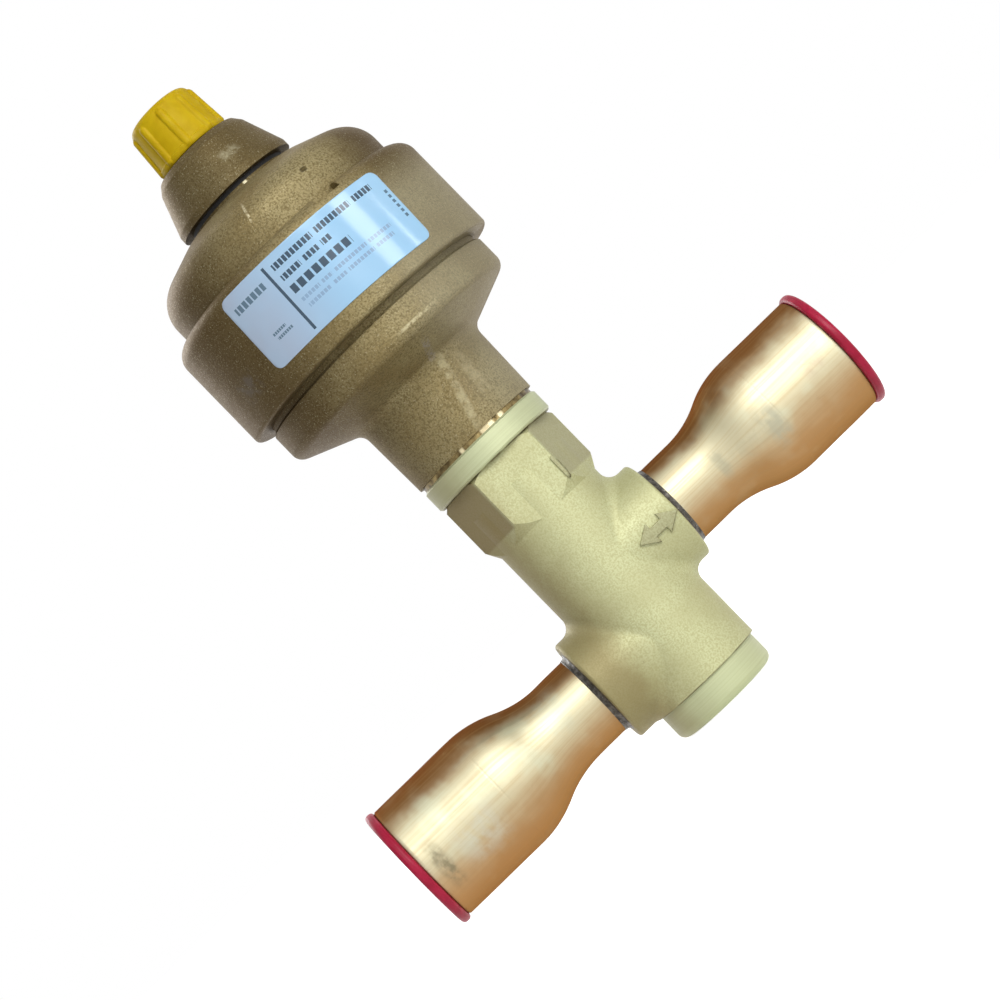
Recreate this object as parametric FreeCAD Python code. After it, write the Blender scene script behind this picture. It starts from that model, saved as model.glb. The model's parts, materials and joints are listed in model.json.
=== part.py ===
"""Electronic expansion valve with a geared stepper drive, in millimetres.

The origin is the centre of the turned boss's end face, at the very bottom.
+Z runs up the valve's axis towards the motor and its connector.
The low pipe leaves along -X and the high pipe along +X. The name label faces -Y.
The valve is shown closed, with both dust plugs and the connector's dust cap on.
"""
import FreeCAD, Part
import os
from math import acos, cos, pi, radians, sin, sqrt, tan
from FreeCAD import Vector

# Fits. Every piece that sits in or on another takes its size from one of these.
fit_gap = 0.05          # radial gap of pieces that are pressed, screwed or brazed together
run_gap = 0.05          # radial gap of a shaft in its bearing and of the piston in its sleeve
free_gap = 0.3          # gap between faces that pass each other
skin_gap = 0.02         # gap under the thinnest layers, the braze and the label film

# Lifting screw, nut and piston, which set the valve's bores from the inside out
spindle_r = 4.0
spindle_tip_below_nut = 1.5
spindle_tip_edge = 0.8
spindle_collar_step = 1.3
spindle_collar = 1.6
gear_seat_step = 1.0
nut_wall = 2.85
nut_length = 8.0
piston_wall = 2.0
piston_length = 27.5
piston_floor = 3.5
piston_hollow_gap = 1.2
nose_length = 2.6
nose_taper = 1.3
key_pin_r = 1.2
key_pin_drop = 4.0
key_pin_end_gap = 0.35
piston_ring_drop = 13.0
piston_ring_height = 2.0
piston_ring_depth = 0.9

spindle_collar_r = spindle_r + spindle_collar_step
gear_seat_r = spindle_r - gear_seat_step
nut_r = spindle_r + run_gap + nut_wall
piston_hollow_r = spindle_r + piston_hollow_gap
piston_r = nut_r + fit_gap + piston_wall

# Sleeve and seat
sleeve_wall = 2.35
sleeve_window_r = 4.6
sleeve_windows = 4
passage_r = 6.5
seat_ring_wall = 4.0
seat_ring_height = 3.0
seat_seal_height = 1.0
seat_gap_above_port = 0.2
chamber_gap = 1.7
chamber_below_port = 11.0

sleeve_bore_r = piston_r + run_gap
sleeve_r = sleeve_bore_r + sleeve_wall
body_bore_r = sleeve_r + fit_gap
key_pin_reach = sleeve_r - key_pin_end_gap
nose_tip_r = passage_r - nose_taper
seat_ring_r = passage_r + seat_ring_wall
chamber_r = passage_r + chamber_gap

# Spigot of the lower housing, which the body's upper end is bored for
spigot_wall = 1.4
spigot_length = 11.0
spigot_bore_gap = 0.45
spigot_r = body_bore_r + spigot_wall
spigot_bore_r = piston_r + spigot_bore_gap

# Forged brass body
boss_step = 0.8
boss_height = 7.3
boss_edge_r = 2.0
barrel_wall = 1.65
body_blend_r = 3.0
hexagon_wall = 1.4
hexagon_above_port = 21.3
hexagon_height = 13.4
hexagon_run_in = 4.2
hexagon_root_depth = 0.4
hexagon_chamfer = 1.1
collar_wall = 4.05
collar_height = 5.5
collar_edge = 0.5

barrel_r = spigot_r + fit_gap + barrel_wall
boss_r = barrel_r - boss_step
hexagon_flats = 2 * (spigot_r + fit_gap + hexagon_wall)
collar_r = spigot_r + fit_gap + collar_wall

# Copper reducer between a port and the pipe
neck_r = 10.4
copper_wall = 1.35
socket_r = 15.4
socket_end_edge = 0.4
straight_neck = 9.5
flare_length = 22.0
low_socket_length = 23.1
high_socket_length = 19.3
tube_insert = 6.5
braze_height = 1.6
braze_length = 3.0
braze_hollow = 0.4
braze_edge = 0.35

# Pipe ports, one to each side and one above the other
low_port_height = 21.5
port_offset = 18.2
port_face_x = 20.0
low_port_wall = 3.45
high_port_wall = 3.05
port_edge_r = 0.8

low_port_r = neck_r + fit_gap + low_port_wall
high_port_r = neck_r + fit_gap + high_port_wall
high_port_height = low_port_height + port_offset
flare_start_x = port_face_x + straight_neck
flare_end_x = flare_start_x + flare_length
low_socket_end_x = flare_end_x + low_socket_length
high_socket_end_x = flare_end_x + high_socket_length
braze_r = neck_r + braze_height

# Push-in dust plug
plug_flange_step = 0.7
plug_flange = 2.3
plug_flange_edge_r = 0.9
plug_wall = 1.2
plug_depth = 9.0
plug_taper = 0.35
plug_flange_r = socket_r + plug_flange_step

# Heights of the body and of what it holds
chamber_bottom = low_port_height - chamber_below_port
seat_ring_bottom = low_port_height + passage_r + seat_gap_above_port
seat_top = seat_ring_bottom + seat_ring_height + seat_seal_height
piston_top = seat_top + piston_length
nut_bottom = piston_top - nut_length
key_pin_height = piston_top - key_pin_drop
hexagon_bottom = high_port_height + hexagon_above_port
hexagon_top = hexagon_bottom + hexagon_height
collar_top = hexagon_top + collar_height

# Ball bearing of the screw
bearing_section = 3.95
bearing_width = 5.0
bearing_above_neck_foot = 5.0
race_wall = 1.3
ball_r = 1.15
ball_count = 8
groove_gap = 0.05
cage_thickness = 0.5
cage_lip = 0.35
clip_thickness = 0.9
clip_depth = 0.8
spindle_clip_width = 1.4
spindle_clip_slot = 2.6
bearing_clip_width = 1.2
bearing_clip_slot = 3.2
bearing_r = spindle_r + fit_gap + bearing_section
ball_circle_r = (spindle_r + fit_gap + bearing_r) / 2

# Gear train, two steps of the same ratio that end on the first shaft's axis
tooth_module = 0.5
pinion_teeth = 13
wheel_teeth = 38
pressure_angle = radians(25)
tooth_thinning = 0.08
gear_face = 4.0
gear_floor_gap = 1.0
spindle_end_above_gear = 0.5
idler_wheel_above_gear = 1.6
rotor_pinion_above_spindle = 0.7
rotor_pinion_overrun = 1.2
gear_plate_gap = 0.9
idler_wheel_face = 2.8
idler_pin_r = 1.0
idler_head_r = 1.8
idler_head = 0.6
idler_hub_r = 2.2
axial_play = 0.1
gear_room_gap = 0.85
gear_distance = tooth_module * (pinion_teeth + wheel_teeth) / 2
wheel_tip_r = tooth_module * (wheel_teeth + 2) / 2

# Lower housing, screwed into the body
gasket_step = 0.6
gasket_bore_gap = 0.4
gasket_thickness = 1.1
neck_step = 0.2
neck_taper = 0.4
neck_length = 18.2
neck_blend_r = 3.0
underside_rise = 5.9
ring_step = 1.0
ring_height = 7.6
ring_edge_r = 2.6
ring_top_edge = 0.5
joint_wall = 2.4
joint_length = 7.3
plate_ledge = 5.0
gear_floor_rise = 0.3
web_hole_gap = 0.7
web_thickness = 2.0

gasket_r = collar_r - gasket_step
gasket_bore_r = spigot_r + gasket_bore_gap
neck_bottom_r = collar_r + neck_step
neck_top_r = neck_bottom_r + neck_taper
web_hole_r = spindle_collar_r + web_hole_gap
gear_room_r = gear_distance + wheel_tip_r + gear_room_gap
motor_room_r = gear_room_r + plate_ledge
joint_r = motor_room_r + joint_wall
ring_r = joint_r + ring_step
neck_bottom = collar_top + gasket_thickness
spigot_bottom = neck_bottom - spigot_length
bearing_height = neck_bottom + bearing_above_neck_foot
bearing_top = bearing_height + bearing_width
neck_top = neck_bottom + neck_length
underside_edge = neck_top + underside_rise
ring_top = underside_edge + ring_height
joint_top = ring_top + joint_length

gear_room_floor = underside_edge + gear_floor_rise
gear_bottom = gear_room_floor + gear_floor_gap
gear_top = gear_bottom + gear_face
spindle_top = gear_top + spindle_end_above_gear
idler_wheel_bottom = gear_top + idler_wheel_above_gear
idler_wheel_top = idler_wheel_bottom + idler_wheel_face
rotor_pinion_bottom = spindle_top + rotor_pinion_above_spindle
rotor_pinion_top = idler_wheel_top + rotor_pinion_overrun
gear_plate_height = rotor_pinion_top + gear_plate_gap

# Stepper motor
plate_thickness = 2.0
pole_plate = 1.2
phase_height = 12.5
motor_wall = 1.2
motor_gap = 0.4
pole_count = 12
pole_width = 2.2
pole_length = 8.4
pole_bore_r = 12.2
rotor_gap = 0.3
magnet_wall = 5.4
magnet_end_gap = 1.4
rotor_shaft_r = 1.5
rotor_shaft_end = 0.6
bobbin_wall = 0.8
bobbin_gap = 1.4
winding_step = 0.6
end_plate_thickness = 1.5
bush_wall = 1.65
bush_flange_step = 1.2
bush_flange = 0.8
spring_washer_height = 1.3
spring_washer_width = 3.6

motor_r = motor_room_r - motor_gap
bobbin_r = motor_r - motor_wall - bobbin_gap
winding_r = bobbin_r - winding_step
bush_r = rotor_shaft_r + run_gap + bush_wall
bush_flange_r = bush_r + bush_flange_step
pole_step = 360.0 / pole_count
motor_bottom = gear_plate_height + plate_thickness
motor_middle = motor_bottom + phase_height
motor_top = motor_middle + phase_height
end_plate_top = motor_top + end_plate_thickness
washer_top = end_plate_top + spring_washer_height

# Upper housing with its label band
band_wall = 4.6
band_above_ring = 1.4
band_height = 26.6
band_top_edge_r = 3.6
band_bottom_edge_r = 0.9
dome_side_wall = 2.4
dome_side_length = 9.7
dome_corner_r = 8.0
dome_rise = 5.0
dome_flat = 4.4
dome_lip_r = 1.2
dome_room_step = 4.4
dome_room_above_washer = 2.9
dome_wall = 2.6
top_neck_r = 14.0
top_neck_wall = 3.0
top_neck_length = 1.4
notch_angle = 19.0
notch_width = 6.9
notch_depth = 1.9

band_r = joint_r + band_wall
dome_r = motor_room_r + dome_side_wall
dome_room_r = motor_room_r - dome_room_step
dome_flat_r = top_neck_r + dome_flat
top_neck_bore_r = top_neck_r - top_neck_wall
band_bottom = ring_top + band_above_ring
band_top = band_bottom + band_height
dome_corner_height = band_top + dome_side_length
dome_top = dome_corner_height + dome_rise
top_neck_height = dome_top + top_neck_length

# Connector, its cover and its dust cap
connector_r = 6.0
connector_wall = 1.3
connector_length = 11.2
connector_edge = 0.5
connector_flange_step = 2.4
connector_flange = 2.0
insert_above_cover = 6.0
contact_r = 0.5
contact_circle_r = 2.5
contact_count = 4
contact_tail = 5.0
contact_tip_drop = 1.5
contact_tip_length = 0.4
contact_tip_r = 0.25
coding_key = 1.2
coding_key_depth = 1.0
coding_key_gap = 0.25
coding_key_drop = 1.0
cover_overhang = 2.1
cover_skirt = 1.6
cover_skirt_edge_r = 1.0
cover_taper = 3.4
cover_shoulder = 11.2
cover_rise = 1.8
cover_top_edge_r = 1.2
cover_top_slope = 1.4
cover_wall = 2.4
cover_spigot = 4.0
cover_seal_thickness = 1.0
cover_seal_inset = 0.4
cover_room_gap = 0.2
cap_wall = 3.15
cap_taper = 1.1
cap_band = 1.6
cap_band_step = 0.25
cap_edge_r = 1.8
cap_lift = 0.5
cap_roof = 1.9
cap_ribs = 9
cap_rib_r = 0.62
cap_rib_inset = 0.05
cap_rib_end_drop = 0.8
cap_rib_phase = 8.0
cap_seal_width = 2.0
cap_seal_thickness = 1.5

connector_bore_r = connector_r - connector_wall
connector_flange_r = connector_r + connector_flange_step
cover_r = top_neck_r + cover_overhang
cover_top_r = cover_r - cover_taper
cap_bottom_r = connector_r + free_gap + cap_wall
cap_top_r = cap_bottom_r - cap_taper
cap_seal_r = connector_r + cap_seal_width
cover_bottom = top_neck_height + cover_seal_thickness
cover_shoulder_height = cover_bottom + cover_shoulder
cover_height = cover_shoulder_height + cover_rise
connector_height = cover_height + connector_length
insert_height = cover_height + insert_above_cover
cap_bottom = cover_height + cap_lift
cap_height = connector_height + free_gap + cap_roof

# Seals and screws
ring_section_r = 0.85
seal_groove_gap = 0.06
seal_groove_lip = 0.5
screw_count = 3
screw_edge_distance = 2.6
screw_head_r = 1.9
screw_head = 1.0
screw_r = 1.1
screw_length = 5.5
screw_hole_spare = 0.5
screw_socket_flats = 1.9
screw_socket_floor = 0.6
screw_phase = 40.0

screw_circle_r = motor_r - screw_edge_distance
half_groove = ring_section_r + seal_groove_gap
seal_height = band_bottom + seal_groove_lip + half_groove

# Name label
label_width = 47.5
label_height = 19.4
label_thickness = 0.15
label_corner_r = 2.0
label_rise = 0.6
label_tilt = 1.9
label_middle_height = band_bottom + band_height / 2 + label_rise


def arc(mid_r, mid_z, end_r, end_z):
    """One round stretch of an outline, through its middle to its end."""
    return ("arc", Vector(mid_r, 0, mid_z), Vector(end_r, 0, end_z))


def turned(outline):
    """A solid of revolution about Z from corners (radius, height) and arcs."""
    start = Vector(outline[0][0], 0, outline[0][1])
    here = start
    edges = []
    for step in list(outline[1:]) + [outline[0]]:
        if step[0] == "arc":
            edges.append(Part.Arc(here, step[1], step[2]).toShape())
            here = step[2]
            continue
        there = Vector(step[0], 0, step[1])
        if there.distanceToPoint(here) > 1e-7:
            edges.append(Part.LineSegment(here, there).toShape())
        here = there
    face = Part.Face(Part.Wire(edges))
    return face.revolve(Vector(0, 0, 0), Vector(0, 0, 1), 360)


# Cutters made with the next three helpers run 1 mm past the faces that they open.
def disc(radius, bottom, top, x=0.0, y=0.0):
    return Part.makeCylinder(radius, top - bottom, Vector(x, y, bottom))


def ring(outer_r, inner_r, bottom, top, x=0.0, y=0.0):
    return disc(outer_r, bottom, top, x, y).cut(disc(inner_r, bottom - 1, top + 1, x, y))


def box(x_size, y_size, z_size, x_middle, y_middle, bottom):
    corner = Vector(x_middle - x_size / 2, y_middle - y_size / 2, bottom)
    return Part.makeBox(x_size, y_size, z_size, corner)


def turn(shape, degrees, axis=Vector(0, 0, 1), centre=Vector(0, 0, 0)):
    copy = shape.copy()
    copy.rotate(centre, axis, degrees)
    return copy


def around(shape, count, phase=0.0):
    """Copies of a shape, evenly spaced about Z."""
    return [turn(shape, phase + 360.0 * k / count) for k in range(count)]


def fused(shapes):
    return shapes[0].fuse(list(shapes[1:])).removeSplitter()


def circles(shape, radius, height):
    """The round edges of a shape at one radius and height about Z."""
    found = []
    for edge in shape.Edges:
        if not isinstance(edge.Curve, Part.Circle):
            continue
        middle = edge.Curve.Center
        if abs(edge.Curve.Radius - radius) < 1e-4 and abs(middle.z - height) < 1e-4:
            if sqrt(middle.x ** 2 + middle.y ** 2) < 1e-4:
                found.append(edge)
    return found


def rounded(shape, places):
    """Fillets on round edges, given as (radius, height, fillet)."""
    for radius, height, fillet in places:
        shape = shape.makeFillet(fillet, circles(shape, radius, height))
    return shape


def chamfered(shape, places):
    for radius, height, size in places:
        shape = shape.makeChamfer(size, circles(shape, radius, height))
    return shape


def to_port(shape, side, height):
    """Lays a shape made along +Z from the origin onto a port's axis."""
    laid = turn(shape, 90 * side, Vector(0, 1, 0))
    laid.translate(Vector(0, 0, height))
    return laid


def involute(base_r, radius):
    """How far the flank has turned from its start on the base circle."""
    if radius <= base_r:
        return 0.0
    roll = acos(base_r / radius)
    return tan(roll) - roll


def gear(teeth, bottom, top, bore_r, tooth_at, x=0.0, y=0.0):
    """A spur gear whose first tooth points along the angle tooth_at, in radians."""
    pitch_r = tooth_module * teeth / 2
    base_r = pitch_r * cos(pressure_angle)
    tip_r = pitch_r + tooth_module
    root_r = pitch_r - 1.25 * tooth_module
    half_tooth = (pi / 2 * tooth_module - tooth_thinning) / 2 / pitch_r
    start_r = max(base_r, root_r)
    radii = [start_r + (tip_r - start_r) * k / 3 for k in range(4)]
    flank = [(r, half_tooth + involute(base_r, pitch_r) - involute(base_r, r)) for r in radii]
    if root_r < start_r:
        flank.insert(0, (root_r, flank[0][1]))
    points = []
    for tooth in range(teeth):
        middle = tooth_at + 2 * pi * tooth / teeth
        outline = [(r, middle - a) for r, a in flank] + [(r, middle + a) for r, a in reversed(flank)]
        points += [Vector(x + r * cos(a), y + r * sin(a), bottom) for r, a in outline]
    blank = Part.Face(Part.makePolygon(points + points[:1])).extrude(Vector(0, 0, top - bottom))
    return blank.cut(disc(bore_r, bottom - 1, top + 1, x, y))


def hexagon(flats, bottom, top):
    """A hexagonal bar with two flats facing -Y and +Y."""
    corner = flats / sqrt(3)
    points = [Vector(corner * cos(pi / 3 * k), corner * sin(pi / 3 * k), bottom) for k in range(7)]
    return Part.Face(Part.makePolygon(points)).extrude(Vector(0, 0, top - bottom))


def body_casting():
    """The outside of the forging: boss, barrel, two port bosses, hexagon and collar."""
    barrel = disc(barrel_r, boss_height, hexagon_bottom + hexagon_height / 2)
    low = to_port(disc(low_port_r, 0, port_face_x), -1, low_port_height)
    high = to_port(disc(high_port_r, 0, port_face_x), 1, high_port_height)
    shape = fused([barrel, low, high])
    blends = [e for e in shape.Edges if not isinstance(e.Curve, (Part.Circle, Part.Line))]
    shape = shape.makeFillet(body_blend_r, blends)
    rims = [e for e in shape.Edges if isinstance(e.Curve, Part.Circle)
            and abs(abs(e.Curve.Center.x) - port_face_x) < 1e-4]
    shape = shape.makeFillet(port_edge_r, rims)
    # The hexagon's corners run out into the barrel below, and are turned off above.
    corner_r = hexagon_flats / sqrt(3)
    run_out = hexagon_bottom - hexagon_run_in
    envelope = turned([(0, run_out), (barrel_r - hexagon_root_depth, run_out),
                       (corner_r, hexagon_bottom), (corner_r, hexagon_top - hexagon_chamfer),
                       (corner_r - hexagon_chamfer, hexagon_top), (0, hexagon_top)])
    wrench = hexagon(hexagon_flats, run_out, hexagon_top).common(envelope)
    collar = disc(collar_r, hexagon_top, collar_top)
    collar = chamfered(collar, [(collar_r, hexagon_top, collar_edge), (collar_r, collar_top, collar_edge)])
    boss = rounded(disc(boss_r, 0, boss_height + 1), [(boss_r, 0, boss_edge_r)])
    return fused([shape, wrench, collar, boss])


def valve_body():
    shape = body_casting()
    bore = turned([(0, chamber_bottom), (chamber_r, chamber_bottom), (chamber_r, seat_ring_bottom),
                   (seat_ring_r + fit_gap, seat_ring_bottom), (seat_ring_r + fit_gap, seat_top),
                   (body_bore_r, seat_top), (body_bore_r, spigot_bottom),
                   (spigot_r + fit_gap, spigot_bottom), (spigot_r + fit_gap, collar_top + 1),
                   (0, collar_top + 1)])
    shape = shape.cut(bore)
    for side, height in ((-1, low_port_height), (1, high_port_height)):
        shape = shape.cut(to_port(disc(passage_r, 0, port_face_x + 1), side, height))
        seat = disc(neck_r + fit_gap, port_face_x - tube_insert, port_face_x + 1)
        shape = shape.cut(to_port(seat, side, height))
    return shape


def flare(start_r, start_x, end_r, end_x):
    """Two equal arcs that carry one radius smoothly over to another."""
    length = end_x - start_x
    rise = end_r - start_r
    bend_r = (length ** 2 + rise ** 2) / (4 * rise)
    sag = bend_r - sqrt(bend_r ** 2 - (length / 4) ** 2)
    middle_x = (start_x + end_x) / 2
    middle_r = (start_r + end_r) / 2
    return [arc(start_r + sag, start_x + length / 4, middle_r, middle_x),
            arc(end_r - sag, end_x - length / 4, end_r, end_x)]


def copper_adapter(side, height, end_x):
    """A drawn copper reducer: neck in the body, flare, and socket for the pipe."""
    foot_x = port_face_x - tube_insert
    outside = [(neck_r, foot_x), (neck_r, flare_start_x)]
    outside += flare(neck_r, flare_start_x, socket_r, flare_end_x)
    outside += [(socket_r, end_x)]
    inner_neck_r = neck_r - copper_wall
    inner_socket_r = socket_r - copper_wall
    inside = [(0, foot_x - 1), (inner_neck_r, foot_x - 1), (inner_neck_r, flare_start_x)]
    inside += flare(inner_neck_r, flare_start_x, inner_socket_r, flare_end_x)
    inside += [(inner_socket_r, end_x + 1), (0, end_x + 1)]
    shape = turned([(0, foot_x)] + outside + [(0, end_x)])
    shape = chamfered(shape, [(socket_r, end_x, socket_end_edge)])
    return to_port(shape.cut(turned(inside)), side, height)


def braze_fillet(side, height):
    """The ring of silver braze in the corner between body and copper."""
    inner_r = neck_r + skin_gap
    toe_r = inner_r + braze_edge
    start_x = port_face_x + braze_edge
    toe_x = port_face_x + braze_length
    sag_r = toe_r + (braze_r - toe_r) * braze_hollow
    sag_x = start_x + (toe_x - start_x) * braze_hollow
    shape = turned([(inner_r, port_face_x), (braze_r, port_face_x), (braze_r, start_x),
                    arc(sag_r, sag_x, toe_r, toe_x), (inner_r, toe_x)])
    return to_port(shape, side, height)


def dust_plug(side, height, end_x):
    """A push-in plug: a hollow skirt in the socket and a rounded flange on its end."""
    skirt_r = socket_r - copper_wall - fit_gap
    inner_end = end_x - plug_depth
    outer_end = end_x + plug_flange
    shape = turned([(0, inner_end), (skirt_r - plug_taper, inner_end), (skirt_r, end_x),
                    (plug_flange_r, end_x), (plug_flange_r, outer_end), (0, outer_end)])
    shape = rounded(shape, [(plug_flange_r, outer_end, plug_flange_edge_r),
                            (plug_flange_r, end_x, plug_flange_edge_r)])
    hollow_r = skirt_r - plug_taper - plug_wall
    shape = shape.cut(disc(hollow_r, inner_end + plug_wall, outer_end + 1))
    return to_port(shape, side, height)


def body_gasket():
    return ring(gasket_r, gasket_bore_r, collar_top, neck_bottom)


def seat_ring():
    return ring(seat_ring_r, passage_r, seat_ring_bottom, seat_ring_bottom + seat_ring_height)


def seat_seal():
    return ring(seat_ring_r, passage_r, seat_ring_bottom + seat_ring_height, seat_top)


def guide_sleeve():
    """The sleeve that the piston runs in, with flow windows and a slot for the key pin."""
    shape = ring(sleeve_r, sleeve_bore_r, seat_top, spigot_bottom)
    window = to_port(disc(sleeve_window_r, sleeve_bore_r - 2, sleeve_r + 2), 1, high_port_height)
    for cutter in around(window, sleeve_windows):
        shape = shape.cut(cutter)
    slot_half = key_pin_r + run_gap
    slot_bottom = key_pin_height - free_gap
    slot = box(2 * slot_half, 2 * sleeve_r, spigot_bottom - slot_bottom + 1, 0, sleeve_r, slot_bottom)
    end = Part.makeCylinder(slot_half, 2 * sleeve_r, Vector(0, 0, slot_bottom), Vector(0, 1, 0))
    return shape.cut(slot).cut(end)


def piston():
    """A hollow piston with a tapered nose that closes on the seat."""
    ring_top_z = piston_top - piston_ring_drop
    ring_bottom_z = ring_top_z - piston_ring_height
    groove_r = piston_r - piston_ring_depth - fit_gap
    shape = turned([(0, seat_top - nose_length), (nose_tip_r, seat_top - nose_length),
                    (passage_r - free_gap, seat_top), (piston_r, seat_top),
                    (piston_r, ring_bottom_z), (groove_r, ring_bottom_z), (groove_r, ring_top_z),
                    (piston_r, ring_top_z), (piston_r, piston_top), (nut_r + fit_gap, piston_top),
                    (nut_r + fit_gap, nut_bottom), (piston_hollow_r, nut_bottom),
                    (piston_hollow_r, seat_top + piston_floor), (0, seat_top + piston_floor)])
    middle = Vector(0, 0, key_pin_height)
    return shape.cut(Part.makeCylinder(key_pin_r + fit_gap, piston_r + 1, middle, Vector(0, 1, 0)))


def piston_ring():
    top = piston_top - piston_ring_drop
    bottom = top - piston_ring_height
    return ring(piston_r, piston_r - piston_ring_depth, bottom + fit_gap, top - fit_gap)


def piston_key_pin():
    foot = Vector(0, nut_r + 2 * fit_gap, key_pin_height)
    return Part.makeCylinder(key_pin_r, key_pin_reach - foot.y, foot, Vector(0, 1, 0))


def spindle_nut():
    return ring(nut_r, spindle_r + run_gap, nut_bottom, piston_top)


def spindle():
    """The screw that lifts the piston. Its thread is left plain here."""
    tip = nut_bottom - spindle_tip_below_nut
    groove_r = spindle_r - clip_depth
    return turned([(0, tip), (spindle_r - spindle_tip_edge, tip), (spindle_r, tip + spindle_tip_edge),
                   (spindle_r, bearing_height - spindle_collar),
                   (spindle_collar_r, bearing_height - spindle_collar), (spindle_collar_r, bearing_height),
                   (spindle_r, bearing_height), (spindle_r, bearing_top), (groove_r, bearing_top),
                   (groove_r, bearing_top + clip_thickness), (spindle_r, bearing_top + clip_thickness),
                   (spindle_r, gear_bottom), (gear_seat_r, gear_bottom), (gear_seat_r, spindle_top),
                   (0, spindle_top)])


def spindle_clip():
    """The open retaining ring above the bearing's inner race."""
    outer_r = spindle_r + spindle_clip_width
    shape = ring(outer_r, spindle_r - clip_depth + fit_gap, bearing_top, bearing_top + clip_thickness)
    slot = box(2 * outer_r, spindle_clip_slot, clip_thickness + 2, outer_r, 0, bearing_top - 1)
    return shape.cut(slot)


def ball_groove():
    middle = Vector(0, 0, bearing_height + bearing_width / 2)
    return Part.makeTorus(ball_circle_r, ball_r + groove_gap, middle)


def bearing_outer_race():
    return ring(bearing_r, bearing_r - race_wall, bearing_height, bearing_top).cut(ball_groove())


def bearing_inner_race():
    bore_r = spindle_r + fit_gap
    return ring(bore_r + race_wall, bore_r, bearing_height, bearing_top).cut(ball_groove())


def bearing_balls():
    middle = Vector(ball_circle_r, 0, bearing_height + bearing_width / 2)
    return Part.makeCompound(around(Part.makeSphere(ball_r, middle), ball_count))


def bearing_cage():
    """The thin ring that spaces the balls."""
    middle_z = bearing_height + bearing_width / 2
    half = ball_r + cage_lip
    shape = ring(ball_circle_r + cage_thickness / 2, ball_circle_r - cage_thickness / 2,
                 middle_z - half, middle_z + half)
    pocket = Part.makeCylinder(ball_r + groove_gap, 2 * ball_r, Vector(ball_circle_r - ball_r, 0, middle_z),
                               Vector(1, 0, 0))
    for cutter in around(pocket, ball_count):
        shape = shape.cut(cutter)
    return shape


def bearing_clip():
    """The open retaining ring above the bearing's outer race, sprung into the housing."""
    outer_r = bearing_r + clip_depth
    shape = ring(outer_r, bearing_r - bearing_clip_width, bearing_top, bearing_top + clip_thickness)
    slot = box(2 * outer_r, bearing_clip_slot, clip_thickness + 2, -outer_r, 0, bearing_top - 1)
    return shape.cut(slot)


def output_gear():
    return gear(wheel_teeth, gear_bottom, gear_top, gear_seat_r + fit_gap, 0)


def idler_gear():
    """A wheel and a pinion in one piece, on the pin beside the main axis."""
    bore_r = idler_pin_r + run_gap
    bottom = gear_bottom + axial_play
    # A gap of each faces the main axis, where its mate has a tooth.
    pinion_tooth = pi + pi / pinion_teeth
    wheel_tooth = pi + pi / wheel_teeth
    pinion = gear(pinion_teeth, bottom, idler_wheel_bottom, bore_r, pinion_tooth, gear_distance)
    wheel = gear(wheel_teeth, idler_wheel_bottom, idler_wheel_top, bore_r, wheel_tooth, gear_distance)
    hub = ring(idler_hub_r, bore_r, idler_wheel_top, gear_plate_height - axial_play, gear_distance)
    return fused([pinion, wheel, hub])


def idler_pin():
    """The pin that hangs from the gear plate, with a head under the idler."""
    head = disc(idler_head_r, gear_bottom - idler_head, gear_bottom, gear_distance)
    shaft = disc(idler_pin_r, gear_bottom - idler_head, motor_bottom - free_gap, gear_distance)
    return fused([head, shaft])


def lower_housing():
    """The cast lower housing: threaded spigot, neck, bowl and the joint for the upper one."""
    ring_bottom = underside_edge
    outside = turned([(0, spigot_bottom), (spigot_r, spigot_bottom), (spigot_r, neck_bottom),
                      (neck_bottom_r, neck_bottom), (neck_top_r, neck_top),
                      (ring_r, ring_bottom), (ring_r, ring_top),
                      (joint_r, ring_top), (joint_r, joint_top), (0, joint_top)])
    outside = rounded(outside, [(neck_top_r, neck_top, neck_blend_r), (ring_r, ring_bottom, ring_edge_r)])
    outside = chamfered(outside, [(ring_r, ring_top, ring_top_edge)])
    inside = turned([(0, spigot_bottom - 1), (spigot_bore_r, spigot_bottom - 1),
                     (spigot_bore_r, bearing_height - web_thickness),
                     (web_hole_r, bearing_height - web_thickness), (web_hole_r, bearing_height),
                     (bearing_r + fit_gap, bearing_height), (bearing_r + fit_gap, bearing_top),
                     (bearing_r + fit_gap + clip_depth, bearing_top),
                     (bearing_r + fit_gap + clip_depth, bearing_top + clip_thickness),
                     (bearing_r + fit_gap, bearing_top + clip_thickness),
                     (bearing_r + fit_gap, gear_room_floor), (gear_room_r, gear_room_floor),
                     (gear_room_r, gear_plate_height), (motor_room_r, gear_plate_height),
                     (motor_room_r, joint_top + 1), (0, joint_top + 1)])
    groove = ring(joint_r + 1, joint_r + fit_gap - 2 * half_groove,
                  seal_height - half_groove, seal_height + half_groove)
    hole_bottom = gear_plate_height - screw_length - screw_hole_spare
    hole = disc(screw_r + fit_gap, hole_bottom, gear_plate_height + 1, screw_circle_r)
    shape = outside.cut(inside).cut(groove)
    for cutter in around(hole, screw_count, screw_phase):
        shape = shape.cut(cutter)
    return shape


def housing_seal():
    return Part.makeTorus(joint_r + fit_gap - half_groove, ring_section_r, Vector(0, 0, seal_height))


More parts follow.
